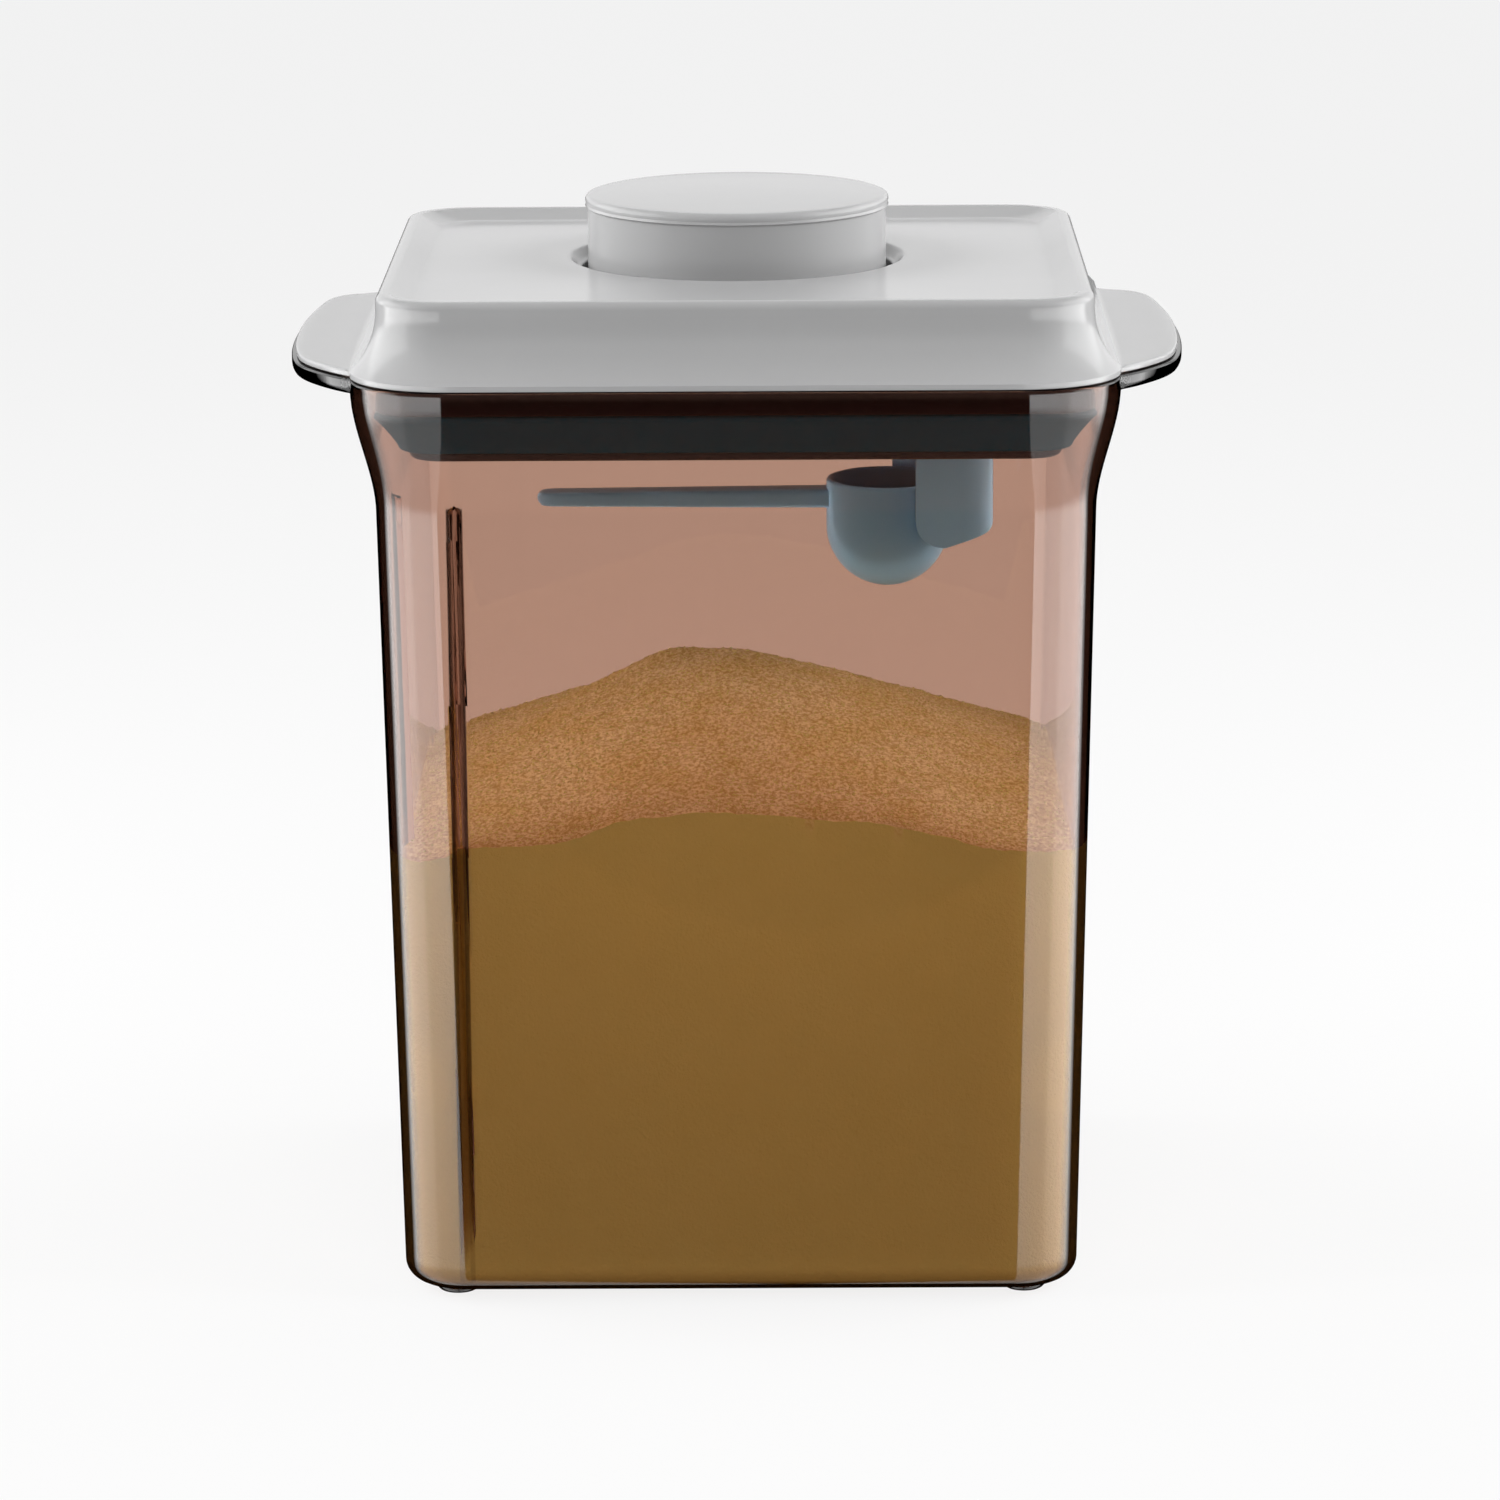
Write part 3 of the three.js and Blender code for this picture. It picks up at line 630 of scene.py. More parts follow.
class JarForm:
    """The jar's walls as functions of height."""

    def __init__(self, jar):
        self.jar = jar
        self.tip = JAR_HIGH.x
        self.rim = JAR_HIGH.z

    def half_width(self, z):
        jar = self.jar
        if z <= jar.flare_start:
            return between(jar.base_half, jar.shoulder_half, (z - jar.base) / (jar.flare_start - jar.base))
        return between(jar.shoulder_half, jar.mouth_half, smooth(jar.flare_start, jar.flare_end, z))

    def corner(self, z):
        jar = self.jar
        return between(jar.base_radius, jar.mouth_radius, smooth(jar.flare_start, jar.flare_end, z))

    def ear_edge(self, y):
        """How far out an ear's free edge is beside a place along the depth."""
        from_end = self.jar.ear_length - abs(y - self.jar.ear_y)
        outline = EAR_FRONT if y < self.jar.ear_y else EAR_BACK
        if from_end <= outline[0][1]:
            return self.tip - outline[0][0]
        for (here, start), (there, end) in zip(outline, outline[1:]):
            if from_end <= end:
                return self.tip - between(here, there, (from_end - start) / (end - start))
        return self.tip

    def rib_rise(self, x, y, z, out):
        """How far a rib stands off the inner wall at a place."""
        jar = self.jar
        half = jar.rib_width / 2 + 0.1 * MM
        past = (z - (jar.rib_top - half)) / half
        if past >= 1 or z < jar.floor:
            return 0.0
        if past > 0:
            half *= math.sqrt(1 - past * past)
        across = min(
            abs(x - jar.rib_front_x) if out.y < -0.9 else 1.0,
            abs(y - jar.rib_side_y) if out.x < -0.9 else 1.0,
        )
        flank = jar.rib_flank
        return jar.rib_depth * (1 - smooth(half - flank, half, across))

    def wall_ring(self, z, inset, ribs=False, radius_inset=None):
        """A ring round the jar at a height, drawn in from the outer wall."""
        half = self.half_width(z) - inset
        radius = self.corner(z) - (inset if radius_inset is None else radius_inset)
        ring = []
        for at in FINE_PLACES:
            point, out = plan_point(at, half, half - PLAN_DIFFERENCE, radius)
            if ribs:
                point = point - out * self.rib_rise(point.x, point.y, z, out)
            ring.append((point.x, point.y, z))
        return ring

    def ear_ring(self, wall_z, ear_z, reach, ear_inset, wall_inset=0.0):
        """A ring that leaves the wall for the ears' outline, and keeps to the wall between them."""
        half = self.half_width(wall_z)
        ring = []
        for at in FINE_PLACES:
            point, out = plan_point(at, half - wall_inset, half - PLAN_DIFFERENCE - wall_inset, self.corner(wall_z) - wall_inset)
            side = abs(point.x)
            edge = self.ear_edge(point.y)
            share = smooth(0.0, 0.6 * MM, edge - half) if abs(out.x) > 0.9 else 0.0
            reached = max(side, between(side, edge - ear_inset, reach)) if share else side
            ring.append((math.copysign(reached, point.x), point.y, between(wall_z, ear_z, share)))
        return ring

    def outer_rings(self):
        jar = self.jar
        rings = [self.wall_ring(jar.base, jar.base_fillet + extra, radius_inset=jar.base_fillet + extra) for extra in (3 * MM, 0.8 * MM)]
        for inset, z in arc(jar.base_fillet, jar.base + jar.base_fillet, jar.base_fillet, 270, 180, 8):
            rings.append(self.wall_ring(z, inset))
        straight = [7.5, 12, 30, 60, 90, 120, 150]
        rings += [self.wall_ring(z * MM, 0) for z in straight]
        rings += [self.wall_ring(between(jar.flare_start, 176.4 * MM, i / 14), 0) for i in range(15)]
        under = self.rim - jar.ear_thickness
        rings.append(self.ear_ring(under - 0.3 * MM, under - 0.3 * MM, 0.0, 0))
        rings.append(self.ear_ring(under, under - 0.05 * MM, 0.02, 0))
        rings.append(self.ear_ring(under + 0.2 * MM, under, 0.06, 0))
        rings.append(self.ear_ring(under + 0.5 * MM, under, 0.5, jar.ear_edge))
        for i, (inset, z) in enumerate(arc(jar.ear_edge, under + jar.ear_edge, jar.ear_edge, 270, 180, 6)):
            rings.append(self.ear_ring(under + (0.8 + 0.2 * i) * MM, z, 1.0, inset))
        edge = 0.4 * MM
        for inset, z in arc(edge, self.rim - edge, edge, 180, 90, 3):
            rings.append(self.ear_ring(z, z, 1.0, inset, inset))
        return rings

    def inner_rings(self):
        jar = self.jar
        edge = 0.4 * MM
        rings = [self.wall_ring(self.rim, jar.wall / 2)]
        for inset, z in arc(jar.wall - edge, self.rim - edge, edge, 90, 0, 3):
            rings.append(self.wall_ring(z, inset))
        heights = [between(179 * MM, 160.4 * MM, i / 12) for i in range(13)]
        heights += [159.6 * MM - 0.25 * MM * i for i in range(12)]
        heights += [155.5 * MM, 154 * MM, 152 * MM, 120 * MM, 90 * MM, 60 * MM, 30 * MM, 12 * MM, 10 * MM]
        rings += [self.wall_ring(z, jar.wall, ribs=True) for z in heights]
        fillet = jar.floor_fillet
        for inset, z in arc(fillet, jar.floor + fillet, fillet, 180, 270, 7):
            rings.append(self.wall_ring(z, jar.wall + inset, ribs=z > jar.floor + 1.5 * MM))
        rings.append(self.wall_ring(jar.floor, jar.wall + fillet + 0.8 * MM))
        return rings


def foot_profile(jar, sole=3.2 * MM):
    """A low round foot, from its sole up into the jar's base."""
    profile = [(0.0, 0.0), (sole, 0.0)]
    for i in range(1, 7):
        turn = i / 6 * QUARTER_TURN
        profile.append((sole + (jar.foot_radius - sole) * math.sin(turn), jar.base * (1 - math.cos(turn))))
    profile += [(jar.foot_radius, jar.base + 0.6 * MM), (0.0, jar.base + 0.6 * MM)]
    return profile


class CONTAINER_OT_jar(bpy.types.Operator):
    """Builds the clear jar with its ears, inner ribs and feet"""

    bl_idname = "container.jar"
    bl_label = "Jar"

    def execute(self, context):
        jar = context.scene.container_jar
        form = JarForm(jar)
        body = place("jar", skin("jar", form.outer_rings() + form.inner_rings()))
        feet = [
            place("foot", turned("foot", foot_profile(jar), side * jar.foot_x, end * jar.foot_y, 40))
            for side in (-1, 1)
            for end in (-1, 1)
        ]
        join_solids(body, feet)
        dress(body, amber_plastic(jar), "amber", "container", "jar_body")
        return {"FINISHED"}


# The lid


def circle_ring(places, like, centre_y, radius, z):
    """A ring on a circle, each point on the way from its centre to the matching point of another ring."""
    ring = []
    for x, y, _ in like:
        angle = math.atan2(y - centre_y, x)
        ring.append((radius * math.cos(angle), centre_y + radius * math.sin(angle), z))
    return ring


class LidForm:
    """The lid's shell as functions of height."""

    def __init__(self, lid, jar_form):
        self.lid = lid
        self.jar = jar_form
        self.low = LID_LOW.z
        self.high = LID_HIGH.z
        self.button_y = (BUTTON_LOW.y + BUTTON_HIGH.y) / 2

    def skirt(self, z, inset=0.0):
        """Half width, half depth and corner radius of the skirt at a height."""
        lid = self.lid
        start = self.low + lid.lip
        rise = min(1.0, max(0.0, (z - start) / (self.high - lid.crest_rounding - start)))
        draw = 1 - (1 - rise) ** lid.flare_power
        return (
            between(lid.rim_half, lid.crest_half, draw) - inset,
            between(lid.rim_half_depth, lid.crest_half_depth, draw) - inset,
            between(self.jar.jar.mouth_radius + 1 * MM, lid.crest_radius, draw) - inset,
        )

    def skirt_ring(self, z, inset=0.0):
        return flat_ring(FINE_PLACES, *self.skirt(z, inset), z)

    def ear_ring(self, wall_z, ear_z, reach, ear_inset, wall_inset=0.0):
        """A ring that leaves the skirt for the lid's ears."""
        half_x, half_y, radius = self.skirt(wall_z, wall_inset)
        ring = []
        for at in FINE_PLACES:
            point, out = plan_point(at, half_x, half_y, radius)
            side = abs(point.x)
            edge = self.jar.ear_edge(point.y) - self.lid.ear_inset - ear_inset
            share = smooth(0.0, 0.8 * MM, edge - half_x) if abs(out.x) > 0.9 else 0.0
            reached = max(side, between(side, edge, reach)) if share else side
            ring.append((math.copysign(reached, point.x), point.y, between(wall_z, ear_z, share)))
        return ring

    def rings(self):
        lid = self.lid
        tray_z = self.high - lid.tray_drop
        tray = flat_ring(FINE_PLACES, lid.tray_half, lid.tray_half_depth, lid.tray_radius, tray_z)

        def circle(radius, z):
            return circle_ring(FINE_PLACES, tray, self.button_y, radius, z)

        rings = [circle(lid.hole_radius, lid.sleeve_bottom), circle(lid.hole_radius, tray_z - lid.dish_depth - 0.5 * MM)]
        rings += [circle(r, z) for r, z in arc(lid.hole_radius + 0.5 * MM, tray_z - lid.dish_depth - 0.5 * MM, 0.5 * MM, 180, 90, 4)]
        for i in range(1, 7):
            share = i / 6
            radius = between(lid.hole_radius + 0.5 * MM, lid.dish_radius, share)
            rings.append(circle(radius, tray_z - lid.dish_depth * (1 - smooth(0, 1, share))))
        rings.append(circle(lid.dish_radius + 0.6 * MM, tray_z))
        rings.append(self.tray_ring(0.8 * MM, 0.0))
        rings.append(self.tray_ring(0.25 * MM, 0.02 * MM))
        rings.append(self.tray_ring(0.0, 0.08 * MM))
        inner = lid.crest_rounding + lid.crest_flat
        for share in (0.08, 0.5, 0.92):
            rings.append(self.slope_ring(share, inner))
        rings.append(self.crest_ring(inner + 0.15 * MM, 0.03 * MM))
        rings.append(self.crest_ring(inner - 0.15 * MM, 0.0))
        for draw, drop in arc(lid.crest_rounding, lid.crest_rounding, lid.crest_rounding, 270, 180, 6):
            rings.append(self.crest_ring(draw, drop))
        skirt_low = self.low + lid.lip
        skirt_high = self.high - lid.crest_rounding
        for i in range(1, 16):
            rings.append(self.skirt_ring(between(skirt_high, skirt_low + 0.5 * MM, (i / 15) ** 0.8)))
        top = self.low + lid.ear_thickness
        rings.append(self.ear_ring(skirt_low + 0.3 * MM, top + 0.25 * MM, 0.0, 0))
        rings.append(self.ear_ring(skirt_low + 0.15 * MM, top + 0.03 * MM, 0.03, 0))
        rings.append(self.ear_ring(skirt_low, top, 0.08, 0))
        edge = 0.45 * MM
        rings.append(self.ear_ring(skirt_low - 0.1 * MM, top, 0.9, edge))
        for inset, z in arc(edge, top - edge, edge, 90, 180, 4):
            rings.append(self.ear_ring(min(z, skirt_low - 0.15 * MM), z, 1.0, inset))
        for inset, z in arc(0.25 * MM, self.low + 0.25 * MM, 0.25 * MM, 180, 270, 3):
            rings.append(self.ear_ring(z, z, 1.0, inset, inset))
        rings.append(self.ear_ring(self.low, self.low, 0.0, 0, lid.wall / 2))
        for z in (self.low, self.low + 0.4 * MM, 184 * MM, 186 * MM, 189 * MM, tray_z - lid.wall):
            rings.append(self.skirt_ring(z, lid.wall))
        sleeve = lid.hole_radius + 1.7 * MM
        rings += [circle(sleeve, tray_z - lid.wall), circle(sleeve, lid.sleeve_bottom)]
        return rings

    def tray_ring(self, out, rise):
        lid = self.lid
        return flat_ring(
            FINE_PLACES, lid.tray_half - out, lid.tray_half_depth - out, lid.tray_radius, self.high - lid.tray_drop + rise
        )

    def slope_ring(self, share, inner):
        """A ring on the slope between the tray and the raised edge."""
        lid = self.lid
        return flat_ring(
            FINE_PLACES,
            between(lid.tray_half, lid.crest_half - inner, share),
            between(lid.tray_half_depth, lid.crest_half_depth - inner, share),
            between(lid.tray_radius, lid.crest_radius - inner, share),
            between(self.high - lid.tray_drop, self.high, share),
        )

    def crest_ring(self, draw, drop):
        lid = self.lid
        return flat_ring(
            FINE_PLACES, lid.crest_half - draw, lid.crest_half_depth - draw, lid.crest_radius - draw, self.high - drop
        )


class CONTAINER_OT_lid(bpy.types.Operator):
    """Builds the lid's grey shell"""

    bl_idname = "container.lid"
    bl_label = "Lid"

    def execute(self, context):
        lid = context.scene.container_lid
        form = LidForm(lid, JarForm(context.scene.container_jar))
        shell = place("lid", skin("lid", form.rings(), joined=True), sharp=math.radians(50))
        dress(shell, moulded_plastic("lid_plastic", lid.grey, 0.13, gloss=0.35), "lid_grey", "container", "lid_shell")
        return {"FINISHED"}


def button_profile(lid):
    """The button from the middle of its top, down its side and back up its inside."""
    radius = BUTTON_HIGH.x
    shoulder = BUTTON_HIGH.z - lid.button_dome
    rounding = 1.1 * MM
    face = radius - rounding
    wall_radius = radius - 0.5 * MM
    profile = [(face * i / 10, BUTTON_HIGH.z - lid.button_dome * (i / 10) ** 2) for i in range(10)]
    profile += arc(face, shoulder - rounding, rounding, 88, 0, 8)
    profile += [(radius - 0.15 * MM, shoulder - rounding - 0.6 * MM)]
    profile += arc(wall_radius + 0.5 * MM, shoulder - rounding - 1.6 * MM, 0.5 * MM, 60, 180, 4)[1:]
    inside = wall_radius - lid.button_wall
    profile += [(wall_radius, BUTTON_LOW.z + 0.3 * MM), (wall_radius - 0.3 * MM, BUTTON_LOW.z)]
    profile += [(inside, BUTTON_LOW.z), (inside, shoulder - 2.6 * MM), (0.0, shoulder - 2.6 * MM)]
    return profile


class CONTAINER_OT_button(bpy.types.Operator):
    """Builds the round push button"""

    bl_idname = "container.button"
    bl_label = "Push button"

    def execute(self, context):
        lid = context.scene.container_lid
        middle = (BUTTON_LOW.y + BUTTON_HIGH.y) / 2
        button = place("button", turned("button", button_profile(lid), 0, middle))
        dress(button, moulded_plastic("button_plastic", lid.grey, 0.2, gloss=0.4), "lid_grey", "button", "push_button")
        return {"FINISHED"}


class CONTAINER_OT_plug(bpy.types.Operator):
    """Builds the inner lid that goes down into the jar"""

    bl_idname = "container.plug"
    bl_label = "Inner lid"

    def execute(self, context):
        lid = context.scene.container_lid
        low, high = PLUG_LOW.z, PLUG_HIGH.z
        lower_half, upper_half = 62.2 * MM, PLUG_HIGH.x
        neck_half, riser_half, wall = 59.6 * MM, 62.4 * MM, 2 * MM
        lower_top, upper_low, upper_top = 168.4 * MM, 176.4 * MM, 181.2 * MM

        def ring(half, z):
            return usual_ring(half, 5 * MM + (half - neck_half) * 0.39, z)

        def edge(half, level, radius, start, end):
            return [ring(half - radius + along, z) for along, z in arc(0, level, radius, start, end, 4)]

        rings = [ring(lower_half - 2.5 * MM, low)]
        rings += edge(lower_half, low + 1.2 * MM, 1.2 * MM, -90, 0)
        rings += edge(lower_half, lower_top - 0.15 * MM, 0.15 * MM, 0, 90)
        rings += [ring(neck_half, lower_top), ring(neck_half, upper_low)]
        rings += edge(upper_half, upper_low + 0.4 * MM, 0.4 * MM, -90, 0)
        rings += edge(upper_half, upper_top - 0.5 * MM, 0.5 * MM, 0, 90)
        rings += [ring(riser_half, upper_top), ring(riser_half, high), ring(riser_half - wall, high)]
        rings += [ring(riser_half - wall, upper_low + wall), ring(neck_half - wall, upper_low + wall)]
        rings += [ring(neck_half - wall, low + wall), ring(neck_half - wall - 2 * MM, low + wall)]
        plug = place("inner_lid", skin("inner_lid", rings), sharp=math.radians(50))
        # The inner lid takes its near-black painted-shade colour
        dress(plug, moulded_plastic("inner_lid_plastic", lid.plug_grey, 0.35, gloss=0.08), "plug_grey", "container", "lid_plug")
        return {"FINISHED"}


class CONTAINER_OT_seal(bpy.types.Operator):
    """Builds the dark sealing ring"""

    bl_idname = "container.seal"
    bl_label = "Sealing ring"

    def execute(self, context):
        seal = context.scene.container_seal
        low, high = SEAL_LOW.z, SEAL_HIGH.z
        inner = 59.9 * MM
        lip = 0.8 * MM

        def ring(half, z):
            return usual_ring(half, 7 * MM + (half - seal.bottom_half) / 2, z)

        rings = []
        for along, z in arc(0, low + lip, lip, -90, 0, 4):
            rings.append(ring(seal.bottom_half - lip + along, z))
        for i in range(1, 9):
            share = i / 8
            rings.append(ring(between(seal.bottom_half, seal.top_half, share ** 1.1), between(low + lip, high - lip, share)))
        for along, z in arc(0, high - lip, lip, 0, 90, 4):
            rings.append(ring(seal.top_half - lip + along, z))
        rings += [usual_ring(inner, 5.2 * MM, z) for z in (high, low)]
        made = place("sealing_ring_soft", skin("sealing_ring_soft", rings, joined=True), sharp=math.radians(50))
        dress(made, soft_rubber("seal_rubber", seal.colour), "seal_teal", "container", "sealing_ring")
        return {"FINISHED"}


# The scoop


class CONTAINER_OT_scoop(bpy.types.Operator):
    """Builds the scoop: a round bottomed bowl with a straight handle"""

    bl_idname = "container.scoop"
    bl_label = "Scoop"

    def execute(self, context):
        scoop = context.scene.container_scoop
        radius = (SCOOP_HIGH.y - SCOOP_LOW.y) / 2
        centre_x = SCOOP_HIGH.x - radius
        ball_z = SCOOP_LOW.z + radius
        rim = SCOOP_HIGH.z
        edge = scoop.wall / 2
        profile = [(max(0.0, r), z) for r, z in arc(0, ball_z, radius, -90, 0, 16)]
        profile += arc(radius - edge, rim - edge, edge, 0, 180, 8)
        profile += [(max(0.0, r), z) for r, z in arc(0, ball_z, radius - scoop.wall, 0, -90, 16)]
        bowl = place("scoop_bowl", turned("scoop_bowl", profile, centre_x, 0, 96))

        half = scoop.handle_width / 2
        tip_x, root_x = SCOOP_LOW.x, centre_x - radius + scoop.wall * 0.7
        build = bmesh.new()
        steps = 40
        rings = []
        for i in range(steps + 1):
            share = i / steps
            x = between(tip_x, root_x, share ** 1.6)
            past = min(1.0, (x - tip_x) / half)
            width = half * math.sqrt(max(0.0, 1 - (1 - past) ** 2)) if past < 1 else half
            height = between(scoop.tip_height, scoop.root_height, (x - tip_x) / (root_x - tip_x)) / 2
            height *= math.sqrt(max(0.0, 1 - (1 - min(1.0, (x - tip_x) / (1.3 * MM))) ** 2))
            rings.append(self.section(build, x, max(width, 0.02 * MM), max(height, 0.02 * MM), scoop.handle_z))
        count = len(rings[0])
        for low, high in zip(rings, rings[1:]):
            for i in range(count):
                j = (i + 1) % count
                build.faces.new((low[i], low[j], high[j], high[i]))
        build.faces.new(rings[0])
        build.faces.new(list(reversed(rings[-1])))
        bmesh.ops.recalc_face_normals(build, faces=build.faces)
        mesh = bpy.data.meshes.new("scoop_handle")
        build.to_mesh(mesh)
        build.free()
        join_solids(bowl, [place("scoop_handle", mesh)], sharp=math.radians(40))
        bowl.name = "scoop_soft"
        material = moulded_plastic("scoop_plastic", scoop.colour, 0.38)
        dress(bowl, material, "scoop_teal", "container", "scoop")
        return {"FINISHED"}

    @staticmethod
    def section(build, x, half_width, half_height, z):
        """One cross section of the handle: a flat bar with rounded edges."""
        edge = min(half_width, half_height) * 0.55
        ring = []
        for sy, sz, start in ((1, 1, 0), (-1, 1, 90), (-1, -1, 180), (1, -1, 270)):
            for y, up in arc(sy * (half_width - edge), sz * (half_height - edge), edge, start, start + 90, 4):
                ring.append(build.verts.new((x, y, z + up)))
        return ring


class CONTAINER_OT_clip(bpy.types.Operator):
    """Builds the bracket under the lid that hugs the scoop's bowl"""

    bl_idname = "container.clip"
    bl_label = "Scoop clip"

    def execute(self, context):
        scoop = context.scene.container_scoop
        radius = (SCOOP_HIGH.y - SCOOP_LOW.y) / 2
        centre_x = SCOOP_HIGH.x - radius
        half = CLIP_HIGH.y
        end_x, back_x, front_x = CLIP_HIGH.x, CLIP_LOW.x, 35.2 * MM
        top, low = CLIP_HIGH.z, CLIP_LOW.z
        corner = 6 * MM

        def upright(x, y, z):
            return (x, y, z)

        def crosswise(x, z, y):
            return (x, y, z)

        plan = [(back_x, -half)] + arc(end_x - corner, corner - half, corner, -90, 0, 12)
        plan += arc(end_x - corner, half - corner, corner, 0, 90, 12) + [(back_x, half)]
        clip = place("clip", prism("clip", plan, low - 2 * MM, top, upright))

        def outline(left):
            lower = [(left, top), (left, 145.5 * MM)]
            for i in range(1, 8):
                turn = i / 8 * QUARTER_TURN
                x = between(left, 41 * MM, 1 - math.cos(turn))
                lower.append((x, between(145.5 * MM, low, math.sin(turn))))
            lower += [(41 * MM, low)]
            lower += arc(end_x - 2.4 * MM, 145.4 * MM, 2.4 * MM, -72, 0, 6)
            return lower + [(end_x, top)]

        front = place("front", prism("front", outline(front_x), -half - 1 * MM, 0.0, crosswise))
        back = place("back", prism("back", outline(back_x), 0.0, half + 1 * MM, crosswise))
        join_solids(front, [back])
        join_solids(clip, [front], "INTERSECT")
        seat = radius + 0.5 * MM
        space = place("space", turned("space", [(0, low - 5 * MM), (seat, low - 5 * MM), (seat, top + 1 * MM), (0, top + 1 * MM)], centre_x, 0, 96))
        join_solids(clip, [space], "DIFFERENCE")
        soften(clip, 0.5 * MM, 3)
        # The clip takes the scoop's plastic made paler as painted light
        dress(clip, moulded_plastic("clip_plastic", scoop.clip_lit_colour, 0.38), "scoop_teal", "container", "scoop_clip")
        return {"FINISHED"}


# The milk powder


class HeapForm:
    """The powder's surface as a function of its place in the jar."""

    # The small peak left of the middle, and the low and high places at the front wall: x, y, spread and height in mm
    BUMPS = (
        (-15.2, 4.0, 7.0, 2.9),
        (-34.0, -63.0, 5.5, -1.9),
        (-52.0, -63.0, 4.0, 0.6),
        (-11.0, -63.0, 7.0, 0.7),
        (48.0, -63.0, 6.0, -0.7),
        (62.0, -63.0, 3.5, 1.1),
    )

    def __init__(self, powder):
        self.powder = powder

    def height(self, x, y):
        powder = self.powder
        dx, dy = x - powder.cone_x, y - powder.cone_y
        away = math.hypot(dx, dy)
        lean = (1 - dx / away) / 2 if away > 0 else 0.5
        fall = (powder.slope + powder.left_extra * lean) * (math.hypot(away, powder.blunt) - powder.blunt)
        u, v = x / MM, y / MM
        bumps = sum(
            height * math.exp(-((u - across) ** 2 + (v - along) ** 2) / (2 * spread * spread))
            for across, along, spread, height in self.BUMPS
        )
        lumps = math.sin(u * 0.23 + 1.3) * math.cos(v * 0.19 - 0.4)
        lumps += 0.7 * math.sin(u * 0.41 - v * 0.33 + 2.1)
        lumps += 0.5 * math.cos(u * 0.11 + v * 0.57)
        return powder.top - fall + bumps * MM + powder.lumps * lumps

    def relief(self, x, y):
        """Fine crumbs and pits on the heap."""
        at = Vector((x, y, 0.37))
        coarse = noise.noise(at / (3.4 * MM)) * 0.16 * MM
        middle = noise.noise(at / (1.6 * MM)) * 0.26 * MM
        fine = noise.noise(at / (0.9 * MM)) * 0.24 * MM
        return coarse + middle + fine


